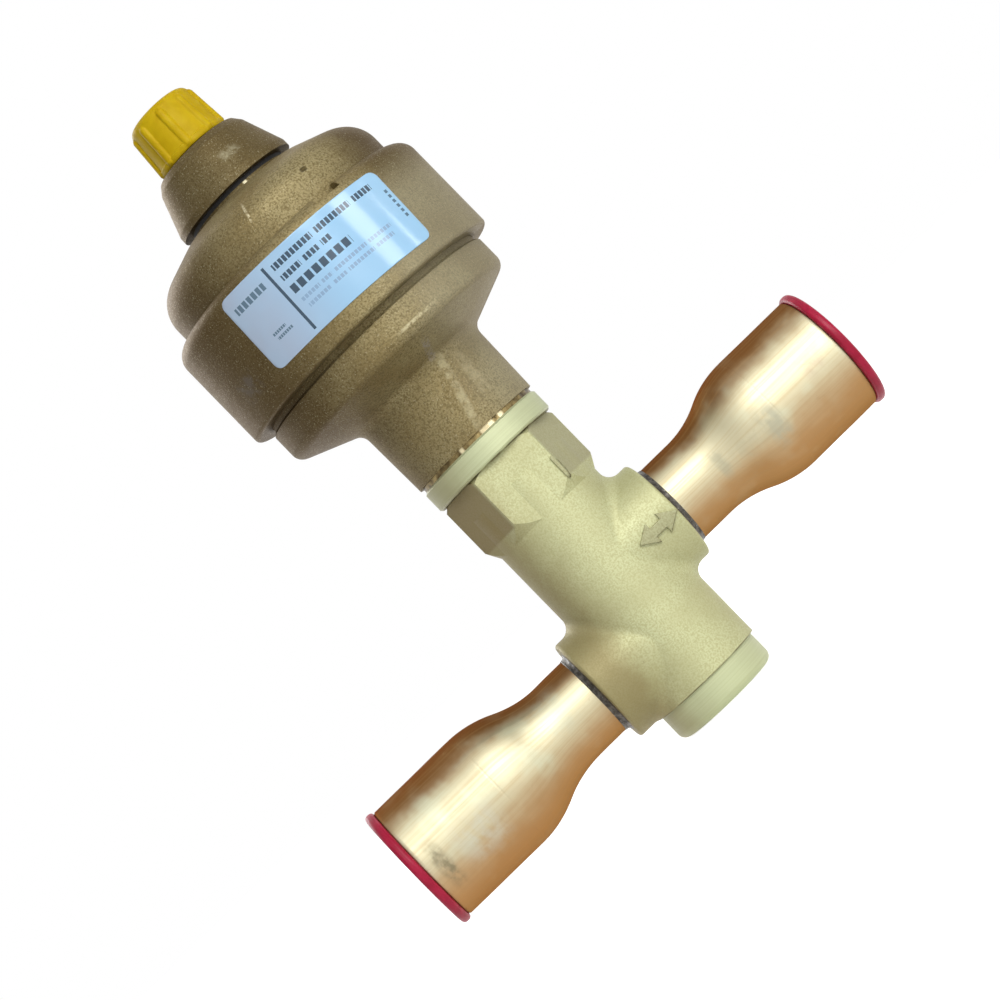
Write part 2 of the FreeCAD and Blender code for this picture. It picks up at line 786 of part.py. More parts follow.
def upper_housing():
    """The cast upper housing: label band, dome and the neck for the connector's cover."""
    outside = turned([(0, band_bottom), (band_r, band_bottom), (band_r, band_top), (dome_r, band_top),
                      (dome_r, dome_corner_height), (dome_flat_r, dome_top), (top_neck_r, dome_top),
                      (top_neck_r, top_neck_height), (0, top_neck_height)])
    top_edge_r = min(band_top_edge_r, 0.8 * (band_r - dome_r))
    outside = rounded(outside, [(band_r, band_top, top_edge_r),
                                (band_r, band_bottom, band_bottom_edge_r),
                                (dome_r, dome_corner_height, dome_corner_r),
                                (dome_flat_r, dome_top, dome_lip_r)])
    joint_bore_r = joint_r + fit_gap
    inside = turned([(0, band_bottom - 1), (joint_bore_r, band_bottom - 1), (joint_bore_r, joint_top),
                     (motor_room_r, joint_top), (motor_room_r, washer_top),
                     (dome_room_r, washer_top), (dome_room_r, washer_top + dome_room_above_washer),
                     (top_neck_bore_r, dome_top - dome_wall), (top_neck_bore_r, top_neck_height + 1),
                     (0, top_neck_height + 1)])
    shape = outside.cut(inside)
    notch = box(notch_width, band_r, notch_depth + 2, 0, -dome_r - band_r / 2, band_top - notch_depth)
    return shape.cut(turn(notch, notch_angle))


def gear_plate():
    shape = disc(motor_r, gear_plate_height, motor_bottom)
    shape = shape.cut(disc(bush_r + fit_gap, gear_plate_height - 1, motor_bottom + 1))
    shape = shape.cut(disc(idler_pin_r + fit_gap, gear_plate_height - 1, motor_bottom + 1, gear_distance))
    hole = disc(screw_r + fit_gap, gear_plate_height - 1, motor_bottom + 1, screw_circle_r)
    for cutter in around(hole, screw_count, screw_phase):
        shape = shape.cut(cutter)
    return shape


def gear_plate_screws():
    """Three cap screws that hold the plate down on the housing's ledge."""
    head_top = motor_bottom + screw_head
    head = disc(screw_head_r, motor_bottom, head_top, screw_circle_r)
    shank = disc(screw_r, gear_plate_height - screw_length, motor_bottom, screw_circle_r)
    socket = hexagon(screw_socket_flats, motor_bottom + screw_socket_floor, head_top + 1)
    socket.translate(Vector(screw_circle_r, 0, 0))
    screw = fused([head, shank]).cut(socket)
    return Part.makeCompound(around(screw, screw_count, screw_phase))


def lower_rotor_bush():
    return ring(bush_r, rotor_shaft_r + run_gap, gear_plate_height, motor_bottom + bush_flange - fit_gap)


def upper_rotor_bush():
    flange = ring(bush_flange_r, rotor_shaft_r + run_gap, end_plate_top, end_plate_top + bush_flange)
    sleeve = ring(bush_r, rotor_shaft_r + run_gap, motor_top, end_plate_top)
    return fused([flange, sleeve])


def motor_end_plate():
    return ring(motor_r, bush_r + fit_gap, motor_top, end_plate_top)


def poles(bottom, top, phase):
    """The claws of one pole plate, evenly spaced round the rotor."""
    claw = box(2 * pole_bore_r, pole_width, top - bottom, pole_bore_r + motor_wall / 2, 0, bottom)
    claw = claw.common(ring(pole_bore_r + motor_wall, pole_bore_r, bottom, top))
    return around(claw, pole_count, phase)


def stator_cup(bottom, up, phase):
    """An outer yoke cup with a ring of claw poles. It opens up or down."""
    top = bottom + phase_height
    wall = ring(motor_r, motor_r - motor_wall, bottom, top)
    if up:
        floor = ring(motor_r, pole_bore_r, bottom, bottom + pole_plate)
        claws = poles(bottom, bottom + pole_plate + pole_length, phase)
    else:
        floor = ring(motor_r, pole_bore_r, top - pole_plate, top)
        claws = poles(top - pole_plate - pole_length, top, phase)
    shape = fused([wall, floor] + claws)
    if up:
        head_room = disc(screw_head_r + free_gap, bottom - 1, bottom + screw_head + free_gap, screw_circle_r)
        for cutter in around(head_room, screw_count, screw_phase):
            shape = shape.cut(cutter)
    return shape


def pole_plate_ring(bottom, up, phase):
    """An inner pole plate between the two phases, with its own claws."""
    floor = ring(motor_r - motor_wall - fit_gap, pole_bore_r, bottom, bottom + pole_plate)
    if up:
        claws = poles(bottom, bottom + pole_plate + pole_length, phase)
    else:
        claws = poles(bottom - pole_length, bottom + pole_plate, phase)
    return fused([floor] + claws)


def bobbin(bottom, top):
    """A plastic spool with two flanges."""
    core_r = pole_bore_r + motor_wall + fit_gap
    core = ring(core_r + bobbin_wall, core_r, bottom, top)
    lower = ring(bobbin_r, core_r, bottom, bottom + bobbin_wall)
    upper = ring(bobbin_r, core_r, top - bobbin_wall, top)
    return fused([core, lower, upper])


def winding(bottom, top):
    inner_r = pole_bore_r + motor_wall + bobbin_wall + 2 * fit_gap
    return ring(winding_r, inner_r, bottom + bobbin_wall, top - bobbin_wall)


def rotor_shaft():
    """The rotor's shaft with its pinion cut on the lower end."""
    pinion = gear(pinion_teeth, rotor_pinion_bottom, rotor_pinion_top, rotor_shaft_r / 2, 0)
    core = disc(rotor_shaft_r, rotor_pinion_bottom, end_plate_top + bush_flange + rotor_shaft_end)
    return fused([pinion, core])


def rotor_hub():
    magnet_r = pole_bore_r - rotor_gap
    bottom = motor_bottom + magnet_end_gap
    top = motor_top - magnet_end_gap
    return ring(magnet_r - magnet_wall - fit_gap, rotor_shaft_r + fit_gap, bottom, top)


def rotor_magnet():
    magnet_r = pole_bore_r - rotor_gap
    return ring(magnet_r, magnet_r - magnet_wall, motor_bottom + magnet_end_gap, motor_top - magnet_end_gap)


def spring_washer():
    outer_r = motor_r
    return ring(outer_r, outer_r - spring_washer_width, end_plate_top, washer_top)


def connector_cover():
    """The conical cover that carries the connector, screwed into the upper neck."""
    spigot_foot = cover_bottom - cover_spigot
    cover_spigot_r = top_neck_bore_r - fit_gap
    outside = turned([(0, spigot_foot), (cover_spigot_r, spigot_foot),
                      (cover_spigot_r, cover_bottom), (cover_r, cover_bottom),
                      (cover_r, cover_bottom + cover_skirt), (cover_top_r, cover_shoulder_height),
                      (cover_top_r - cover_top_slope, cover_height), (0, cover_height)])
    outside = rounded(outside, [(cover_r, cover_bottom + cover_skirt, cover_skirt_edge_r),
                                (cover_top_r, cover_shoulder_height, cover_top_edge_r)])
    room_r = top_neck_bore_r - cover_wall
    roof = cover_height - cover_wall
    inside = turned([(0, spigot_foot - 1), (room_r, spigot_foot - 1),
                     (connector_flange_r + cover_room_gap, roof), (0, roof)])
    hole = disc(connector_r + fit_gap, roof - 1, cover_height + 1)
    return outside.cut(inside).cut(hole)


def connector_shell():
    """The threaded round connector shell. Its thread is left plain here."""
    roof = cover_height - cover_wall
    outside = turned([(0, roof - connector_flange), (connector_flange_r, roof - connector_flange),
                      (connector_flange_r, roof), (connector_r, roof),
                      (connector_r, connector_height - connector_edge),
                      (connector_r - connector_edge, connector_height), (0, connector_height)])
    return outside.cut(disc(connector_bore_r, roof - connector_flange - 1, connector_height + 1))


def contact_places():
    step = 360.0 / contact_count
    return [(contact_circle_r * cos(radians(45 + step * k)), contact_circle_r * sin(radians(45 + step * k)))
            for k in range(contact_count)]


def connector_insert():
    """The plastic insert that holds the contacts, with its coding key."""
    bottom = cover_height - cover_wall - connector_flange
    shape = disc(connector_bore_r - fit_gap, bottom, insert_height)
    key_height = connector_height - coding_key_drop - bottom
    key_y = connector_bore_r - coding_key_gap - coding_key_depth / 2
    key = box(coding_key, coding_key_depth, key_height, 0, key_y, bottom)
    shape = fused([shape, key])
    for x, y in contact_places():
        shape = shape.cut(disc(contact_r + fit_gap, bottom - 1, insert_height + 1, x, y))
    return shape


def connector_contacts():
    bottom = cover_height - cover_wall - connector_flange - contact_tail
    top = connector_height - contact_tip_drop
    pins = []
    for x, y in contact_places():
        pin = turned([(0, bottom), (contact_r, bottom), (contact_r, top - contact_tip_length),
                      (contact_tip_r, top), (0, top)])
        pin.translate(Vector(x, y, 0))
        pins.append(pin)
    return Part.makeCompound(pins)


def cover_seal():
    """The flat ring under the cover, at the bottom of the dark groove."""
    return ring(top_neck_r - cover_seal_inset, top_neck_bore_r + fit_gap, top_neck_height, cover_bottom)


def dust_cap():
    """The ribbed plastic cap that screws over the connector."""
    rib_bottom = cap_bottom + cap_band
    wall_r = cap_bottom_r - cap_band_step
    shape = turned([(0, cap_bottom), (cap_bottom_r, cap_bottom), (cap_bottom_r, rib_bottom),
                    (wall_r, rib_bottom), (cap_top_r, cap_height), (0, cap_height)])
    shape = rounded(shape, [(cap_top_r, cap_height, cap_edge_r)])
    # Each rib leans with the wall, starts inside the plain band and ends in a round tip.
    rib_foot = cap_bottom + cap_band * 3 / 4
    rib_top = cap_height - cap_edge_r - cap_rib_end_drop
    lean = (wall_r - cap_top_r) / (cap_height - rib_bottom)
    foot = Vector(wall_r - cap_rib_inset, 0, rib_foot)
    rib_axis = Vector(-lean, 0, 1)
    length = rib_top - rib_foot
    rib = Part.makeCylinder(cap_rib_r, length, foot, rib_axis)
    end = Part.makeSphere(cap_rib_r, foot + rib_axis.normalize() * length)
    shape = fused([shape] + around(fused([rib, end]), cap_ribs, cap_rib_phase))
    room = disc(connector_r + free_gap, cap_bottom - 1, cap_height - cap_roof)
    recess = disc(cap_seal_r + free_gap, cap_bottom - 1, cover_height + cap_seal_thickness)
    return shape.cut(room).cut(recess)


def cap_seal():
    return ring(cap_seal_r, connector_r + 2 * run_gap, cover_height, cover_height + cap_seal_thickness)


def name_label():
    """The thin label wrapped round the front of the band, a touch out of level."""
    flat = box(label_width, band_r, label_height, 0, 0, -label_height / 2)
    upright = [e for e in flat.Edges if abs(e.tangentAt(e.FirstParameter).y) > 0.99]
    flat = flat.makeFillet(label_corner_r, upright)
    # The flat label is bent round the band by cutting the ring with its width seen from the front.
    half_angle = label_width / 2 / band_r
    scale = sin(half_angle) / half_angle
    matrix = FreeCAD.Matrix()
    matrix.scale(scale, 1, 1)
    tool = turn(flat.transformGeometry(matrix), label_tilt, Vector(0, 1, 0))
    tool.translate(Vector(0, -band_r, label_middle_height))
    inner_r = band_r + skin_gap
    skin = ring(inner_r + label_thickness, inner_r,
                label_middle_height - label_height, label_middle_height + label_height)
    return skin.common(tool)


nodes = {
    "valve_body": valve_body(),
    "low_copper_adapter": copper_adapter(-1, low_port_height, low_socket_end_x),
    "high_copper_adapter": copper_adapter(1, high_port_height, high_socket_end_x),
    "low_braze_ring": braze_fillet(-1, low_port_height),
    "high_braze_ring": braze_fillet(1, high_port_height),
    "low_dust_plug": dust_plug(-1, low_port_height, low_socket_end_x),
    "high_dust_plug": dust_plug(1, high_port_height, high_socket_end_x),
    "body_gasket": body_gasket(),
    "seat_ring": seat_ring(),
    "seat_seal": seat_seal(),
    "guide_sleeve": guide_sleeve(),
    "piston": piston(),
    "piston_ring": piston_ring(),
    "piston_key_pin": piston_key_pin(),
    "spindle_nut": spindle_nut(),
    "spindle": spindle(),
    "spindle_clip": spindle_clip(),
    "bearing_outer_race": bearing_outer_race(),
    "bearing_inner_race": bearing_inner_race(),
    "bearing_balls": bearing_balls(),
    "bearing_cage": bearing_cage(),
    "bearing_clip": bearing_clip(),
    "output_gear": output_gear(),
    "idler_gear": idler_gear(),
    "idler_pin": idler_pin(),
    "lower_housing": lower_housing(),
    "housing_seal": housing_seal(),
    "upper_housing": upper_housing(),
    "gear_plate": gear_plate(),
    "gear_plate_screws": gear_plate_screws(),
    "lower_rotor_bush": lower_rotor_bush(),
    "upper_rotor_bush": upper_rotor_bush(),
    "motor_end_plate": motor_end_plate(),
    "lower_stator_cup": stator_cup(motor_bottom, True, 0.0),
    "lower_pole_plate": pole_plate_ring(motor_middle - pole_plate, False, pole_step / 2),
    "upper_pole_plate": pole_plate_ring(motor_middle, True, pole_step * 3 / 4),
    "upper_stator_cup": stator_cup(motor_middle, False, pole_step / 4),
    "lower_bobbin": bobbin(motor_bottom + pole_plate, motor_middle - pole_plate),
    "upper_bobbin": bobbin(motor_middle + pole_plate, motor_top - pole_plate),
    "lower_winding": winding(motor_bottom + pole_plate, motor_middle - pole_plate),
    "upper_winding": winding(motor_middle + pole_plate, motor_top - pole_plate),
    "rotor_shaft": rotor_shaft(),
    "rotor_hub": rotor_hub(),
    "rotor_magnet": rotor_magnet(),
    "motor_spring_washer": spring_washer(),
    "connector_cover": connector_cover(),
    "cover_seal": cover_seal(),
    "connector_shell": connector_shell(),
    "connector_insert": connector_insert(),
    "connector_contacts": connector_contacts(),
    "dust_cap": dust_cap(),
    "cap_seal": cap_seal(),
    "name_label": name_label(),
}

os.makedirs("parts", exist_ok=True)
for name, shape in nodes.items():
    shape.exportStep("parts/" + name + ".step")
    print(name, len(shape.Solids), round(shape.Volume, 2), shape.isValid())
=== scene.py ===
"""Looks of the electronic expansion valve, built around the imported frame.

Everything is in metres in the row frame. Names that end in _mm are in millimetres.
"""
import bmesh
import bpy
import json
from math import cos, pi, radians, sin, sqrt
from mathutils import Matrix, Vector, noise
from mathutils.bvhtree import BVHTree


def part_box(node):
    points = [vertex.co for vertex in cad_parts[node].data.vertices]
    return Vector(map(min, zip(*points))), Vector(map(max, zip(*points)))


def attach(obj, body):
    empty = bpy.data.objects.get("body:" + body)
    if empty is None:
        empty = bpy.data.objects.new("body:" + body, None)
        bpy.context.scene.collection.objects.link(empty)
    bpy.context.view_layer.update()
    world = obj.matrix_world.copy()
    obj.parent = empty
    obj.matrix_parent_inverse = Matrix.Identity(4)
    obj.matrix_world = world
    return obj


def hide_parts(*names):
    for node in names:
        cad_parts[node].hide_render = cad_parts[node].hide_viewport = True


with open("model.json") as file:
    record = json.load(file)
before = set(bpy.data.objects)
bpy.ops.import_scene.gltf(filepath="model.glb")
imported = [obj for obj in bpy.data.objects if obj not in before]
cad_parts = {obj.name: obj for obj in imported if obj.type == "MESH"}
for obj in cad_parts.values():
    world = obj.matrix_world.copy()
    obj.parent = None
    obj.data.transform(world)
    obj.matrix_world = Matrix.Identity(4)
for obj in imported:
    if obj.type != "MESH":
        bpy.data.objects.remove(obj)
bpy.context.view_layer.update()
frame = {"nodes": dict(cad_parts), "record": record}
nodes = frame["nodes"]
mm = 0.001


def low_high(node):
    """A node's lowest and highest corners at rest, in millimetres."""
    low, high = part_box(node)
    return low / mm, high / mm


# Camera: where the photograph was taken from, and its axes in the row frame.
camera_place_mm = Vector((-52.0, -642.9, 47.2))
camera_right = Vector((0.71586, -0.02974, -0.69761))
camera_down = Vector((-0.69454, 0.07252, -0.71579))
camera_forward = Vector((0.07188, 0.99692, 0.03126))
focal_px = 2880.0
image_px = 1000.0
sensor_mm = 36.0


def add_camera():
    camera = bpy.data.cameras.new("camera")
    camera.sensor_width = sensor_mm
    camera.lens = focal_px / image_px * sensor_mm
    camera.clip_start = 0.01
    camera.clip_end = 50.0
    holder = bpy.data.objects.new("camera", camera)
    bpy.context.scene.collection.objects.link(holder)
    turned = Matrix((camera_right, -camera_down, -camera_forward)).transposed()
    holder.matrix_world = Matrix.Translation(camera_place_mm * mm) @ turned.to_4x4()
    bpy.context.scene.camera = holder


# Materials

class Paint:
    """A material and the few node recipes that all of them share."""

    def __init__(self, name):
        self.material = bpy.data.materials.new(name)
        self.material.use_nodes = True
        self.tree = self.material.node_tree
        self.shader = self.tree.nodes["Principled BSDF"]

    def node(self, kind, **settings):
        made = self.tree.nodes.new(kind)
        for key, value in settings.items():
            setattr(made, key, value)
        return made

    def link(self, source, target):
        self.tree.links.new(source, target)

    def feed(self, socket, value):
        """Sets a socket to a plain value, or links it."""
        if isinstance(value, bpy.types.NodeSocket):
            self.link(value, socket)
        elif socket.type == "RGBA":
            socket.default_value = (*value, 1.0)
        else:
            socket.default_value = value

    def coordinates(self, output, in_mm, stretch):
        """Coordinates turned into millimetres by in_mm and divided along each axis by stretch."""
        coordinate = self.node("ShaderNodeTexCoord")
        scaled = self.node("ShaderNodeVectorMath", operation="MULTIPLY")
        scaled.inputs[1].default_value = [in_mm / s for s in stretch]
        self.link(coordinate.outputs[output], scaled.inputs[0])
        return scaled.outputs[0]

    def place(self, stretch=(1.0, 1.0, 1.0)):
        """The object's own coordinates, which are in metres."""
        return self.coordinates("Object", 1000.0, stretch)

    def surface(self, stretch=(1.0, 1.0, 1.0)):
        """The mesh's laid-out coordinates, which are in millimetres already."""
        return self.coordinates("UV", 1.0, stretch)

    def parts(self, vector):
        """The three coordinates by themselves."""
        split = self.node("ShaderNodeSeparateXYZ")
        self.link(vector, split.inputs[0])
        return split.outputs

    def math(self, operation, a, b=0.0):
        made = self.node("ShaderNodeMath", operation=operation)
        self.feed(made.inputs[0], a)
        self.feed(made.inputs[1], b)
        return made.outputs[0]

    def grain(self, vector, size, detail=3.0, rough=0.55, twist=0.0):
        """Noise from 0 to 1 whose patches are about one size across."""
        made = self.node("ShaderNodeTexNoise")
        self.link(vector, made.inputs["Vector"])
        made.inputs["Scale"].default_value = 1.0 / size
        made.inputs["Detail"].default_value = detail
        made.inputs["Roughness"].default_value = rough
        made.inputs["Distortion"].default_value = twist
        return made.outputs["Fac"]

    def wander(self, vector, size):
        """A shift of up to half a size to either side, which frays a straight border."""
        return self.math("MULTIPLY", self.math("SUBTRACT", self.grain(vector, size), 0.5), size)

    def spread(self, value, low, high, start=0.0, end=1.0):
        """Maps low..high to start..end, smoothly, and holds beyond."""
        made = self.node("ShaderNodeMapRange", interpolation_type="SMOOTHSTEP")
        self.feed(made.inputs["Value"], value)
        for key, number in (("From Min", low), ("From Max", high), ("To Min", start), ("To Max", end)):
            made.inputs[key].default_value = number
        return made.outputs["Result"]

    def blend(self, share, a, b):
        """Colour a, with a share of colour b over it."""
        made = self.node("ShaderNodeMix", data_type="RGBA", blend_type="MIX")
        self.feed(made.inputs["Factor"], share)
        self.feed(made.inputs[6], a)
        self.feed(made.inputs[7], b)
        return made.outputs[2]

    def near(self, value, middle, half, fade):
        """1 within half of middle, falling to 0 over fade."""
        away = self.math("ABSOLUTE", self.math("SUBTRACT", value, middle))
        return self.spread(away, half, half + fade, 1.0, 0.0)

    def bump(self, height, depth_mm, under=None):
        made = self.node("ShaderNodeBump")
        made.inputs["Distance"].default_value = depth_mm * mm
        made.inputs["Strength"].default_value = 1.0
        self.link(height, made.inputs["Height"])
        if under is not None:
            self.link(under, made.inputs["Normal"])
        return made.outputs["Normal"]

    def finish(self, colour, roughness, normal=None, metallic=0.0, **sockets):
        self.feed(self.shader.inputs["Base Color"], colour)
        self.feed(self.shader.inputs["Roughness"], roughness)
        self.feed(self.shader.inputs["Metallic"], metallic)
        if normal is not None:
            self.link(normal, self.shader.inputs["Normal"])
        for key, value in sockets.items():
            self.feed(self.shader.inputs[key.replace("_", " ").title().replace("Ior", "IOR")], value)
        return self.material


def cast_brass():
    """Sand-cast brass, blasted to a fine glitter, with the marks that the photograph shows."""
    dull, light = (0.235, 0.180, 0.080), (0.312, 0.260, 0.132)
    hollow, smeared = (0.150, 0.115, 0.050), (0.130, 0.096, 0.040)
    painted_shade_tone, dark_top = (0.058, 0.034, 0.010), (0.066, 0.044, 0.016)
    painted_light_tone, sparkle = (0.430, 0.410, 0.300), (0.50, 0.46, 0.30)
    p = Paint("cast_brass")
    here = p.place()
    x, y, z = p.parts(here)
    front = p.spread(y, *front_y_mm, 1.0, 0.0)
    sand = p.grain(here, 0.45, 3.0, 0.55)
    glitter = p.grain(here, 0.30, 1.0, 0.5)
    colour = p.blend(p.spread(p.grain(here, 15.0, 3.0, 0.5), 0.34, 0.66), dull, light)
    colour = p.blend(p.spread(sand, 0.32, 0.60), hollow, colour)
    smear = p.grain(here, 5.0, 4.0, 0.65, 0.8)
    colour = p.blend(p.spread(smear, 0.56, 0.74, 0.0, 0.35), colour, smeared)

    uneven = p.wander(here, 9.0)
    frayed_x = p.math("ADD", x, uneven)
    # Painted shade darkens the left side, and the right side more strongly higher up.
    painted_shade_right = p.math("MULTIPLY", p.spread(frayed_x, *painted_shade_right_mm, 0.0, 0.90),
                           p.spread(z, *painted_shade_height_mm, 0.25, 1.0))
    painted_shade = p.math("MAXIMUM", p.spread(frayed_x, *painted_shade_left_mm, 0.86, 0.0), painted_shade_right)
    colour = p.blend(painted_shade, colour, painted_shade_tone)
    top = p.spread(p.math("ADD", z, uneven), *dark_cover_mm, 0.0, 0.68)
    colour = p.blend(top, colour, dark_top)
    # A painted pool of light lightens the front right, fading out higher up.
    painted_light = p.math("MULTIPLY", p.spread(frayed_x, *painted_light_x_mm, 0.0, 0.32),
                  p.spread(z, *painted_light_height_mm, 1.0, 0.0))
    colour = p.blend(p.math("MULTIPLY", painted_light, front), colour, painted_light_tone)
    colour = p.blend(p.spread(glitter, 0.61, 0.74, 0.0, 0.40), colour, sparkle)

    dents = None
    # Two of these marks are painted glints.
    for middle_x, middle_z, half_x, half_z, lean, strength, ragged_mm, tint in cast_marks:
        leaned = p.math("SUBTRACT", x, p.math("MULTIPLY", p.math("SUBTRACT", z, middle_z), lean))
        spot = p.math("MULTIPLY", p.near(leaned, middle_x, half_x * 0.5, half_x),
                      p.near(z, middle_z, half_z * 0.5, half_z * 0.8))
        spot = p.math("MULTIPLY", spot, front)
        if ragged_mm:
            spot = p.math("MULTIPLY", spot, p.spread(p.grain(here, ragged_mm, 4.0, 0.6), 0.36, 0.62))
        colour = p.blend(p.math("MULTIPLY", spot, strength), colour, tint)
        if sum(tint) < dent_darkness:
            dents = spot if dents is None else p.math("MAXIMUM", dents, spot)

    rough = p.spread(glitter, 0.45, 0.74, 0.50, 0.34)
    normal = p.bump(sand, 0.07)
    normal = p.bump(glitter, 0.035, normal)
    normal = p.bump(p.grain(here, 6.0, 3.0), 0.16, normal)
    normal = p.bump(p.math("SUBTRACT", 1.0, dents), 0.5, normal)
    return p.finish(colour, rough, normal, 0.22, specular_ior_level=0.22,
                    specular_tint=(0.75, 0.55, 0.32))


def forged_brass():
    """Pale greenish brass: fine blasted forging, with a turned collar and boss, painted shade with a little
    patina on its left side, and painted shade on the hexagon's side facets.
    """
    dull, light = (0.520, 0.520, 0.285), (0.575, 0.590, 0.335)
    hollow, pitted = (0.475, 0.465, 0.240), (0.24, 0.20, 0.09)
    shade_and_patina_tone, seamed = (0.270, 0.215, 0.088), (0.150, 0.125, 0.050)
    left_facet_shade, right_facet_shade = (0.235, 0.178, 0.070), (0.340, 0.310, 0.180)
    turned_dull, turned_light = (0.500, 0.530, 0.310), (0.560, 0.600, 0.365)
    turned_shade_and_patina_tone = (0.300, 0.262, 0.130)
    p = Paint("forged_brass")
    here = p.place()
    x, y, height = p.parts(here)
    sand = p.grain(here, 0.40, 3.0, 0.6)
    colour = p.blend(p.spread(p.grain(here, 12.0, 2.0), 0.35, 0.66), dull, light)
    colour = p.blend(p.spread(sand, 0.36, 0.60), hollow, colour)
    pore = p.spread(p.grain(here, 1.0, 3.0, 0.6), 0.24, 0.30, 0.7, 0.0)
    colour = p.blend(pore, colour, pitted)
    # Painted shade, with a little patina, browns the left side, most at the front.
    brown = p.spread(p.math("ADD", x, p.wander(here, 7.0)), *shade_and_patina_left_mm, 0.82, 0.0)
    brown = p.math("MULTIPLY", brown, p.spread(y, *shade_and_patina_behind_mm, 1.0, 0.3))
    colour = p.blend(brown, colour, shade_and_patina_tone)

    collar_foot = body_high.z - collar_height_mm
    on_hexagon = p.math("MULTIPLY", p.spread(height, *hexagon_foot_mm),
                        p.spread(height, collar_foot - 0.3, collar_foot, 1.0, 0.0))
    # Painted shade on the hexagon's left and right facets, darker on the left.
    edge_in, edge_out = hexagon_edge_mm
    left_facet = p.math("MULTIPLY", on_hexagon, p.spread(x, -edge_out, -edge_in, 0.85, 0.0))
    colour = p.blend(left_facet, colour, left_facet_shade)
    right_facet = p.math("MULTIPLY", on_hexagon, p.spread(x, edge_in, edge_out, 0.0, 0.60))
    colour = p.blend(right_facet, colour, right_facet_shade)

    turned = p.math("MAXIMUM", p.spread(height, boss_top_mm - 0.15, boss_top_mm + 0.15, 1.0, 0.0),
                    p.spread(height, collar_foot - 0.1, collar_foot + 0.1))
    lines = p.grain(p.place((60.0, 60.0, 0.22)), 1.0, 2.0)
    lathe_tone = p.blend(p.spread(lines, 0.25, 0.75), turned_dull, turned_light)
    # The same painted shade and patina on the turned faces.
    lathe_tone = p.blend(p.math("MULTIPLY", brown, 0.8), lathe_tone, turned_shade_and_patina_tone)
    colour = p.blend(turned, colour, lathe_tone)
    for seam in (collar_foot - 0.05, boss_top_mm):
        line = p.math("MULTIPLY", p.near(height, seam, 0.07, 0.14),
                      p.spread(p.grain(here, 3.0, 3.0), 0.3, 0.6, 0.25, 0.85))
        colour = p.blend(line, colour, seamed)

    rough = p.math("MULTIPLY", p.spread(sand, 0.35, 0.7, 0.60, 0.46), p.spread(turned, 0.0, 1.0, 1.0, 0.80))
    blast = p.math("MULTIPLY", sand, p.spread(turned, 0.0, 1.0, 1.0, 0.08))
    normal = p.bump(blast, 0.045)
    normal = p.bump(p.grain(here, 2.6, 2.0), 0.05, normal)
    return p.finish(colour, rough, normal, 0.30, specular_ior_level=0.4)


def relief_brass():
    """Raised marks on the forging: a little greyer on top, with painted shade where a side looks down."""
    p = Paint("relief_brass")
    here = p.place()
    sand = p.grain(here, 0.40, 3.0, 0.6)
    colour = p.blend(p.spread(sand, 0.34, 0.62), (0.375, 0.355, 0.190), (0.470, 0.470, 0.270))
    facing_x, _, facing_z = p.parts(p.node("ShaderNodeNewGeometry").outputs["Normal"])
    # Painted shade on the sides that look down, and a little on those that look right.
    upward = p.math("ADD", p.math("MULTIPLY", facing_z, 0.8), p.math("MULTIPLY", facing_x, -0.35))
    shaded = p.spread(upward, -0.62, -0.20, 1.0, 0.0)
    colour = p.blend(shaded, colour, (0.125, 0.110, 0.048))
    return p.finish(colour, 0.55, p.bump(sand, 0.045), 0.20, specular_ior_level=0.3)


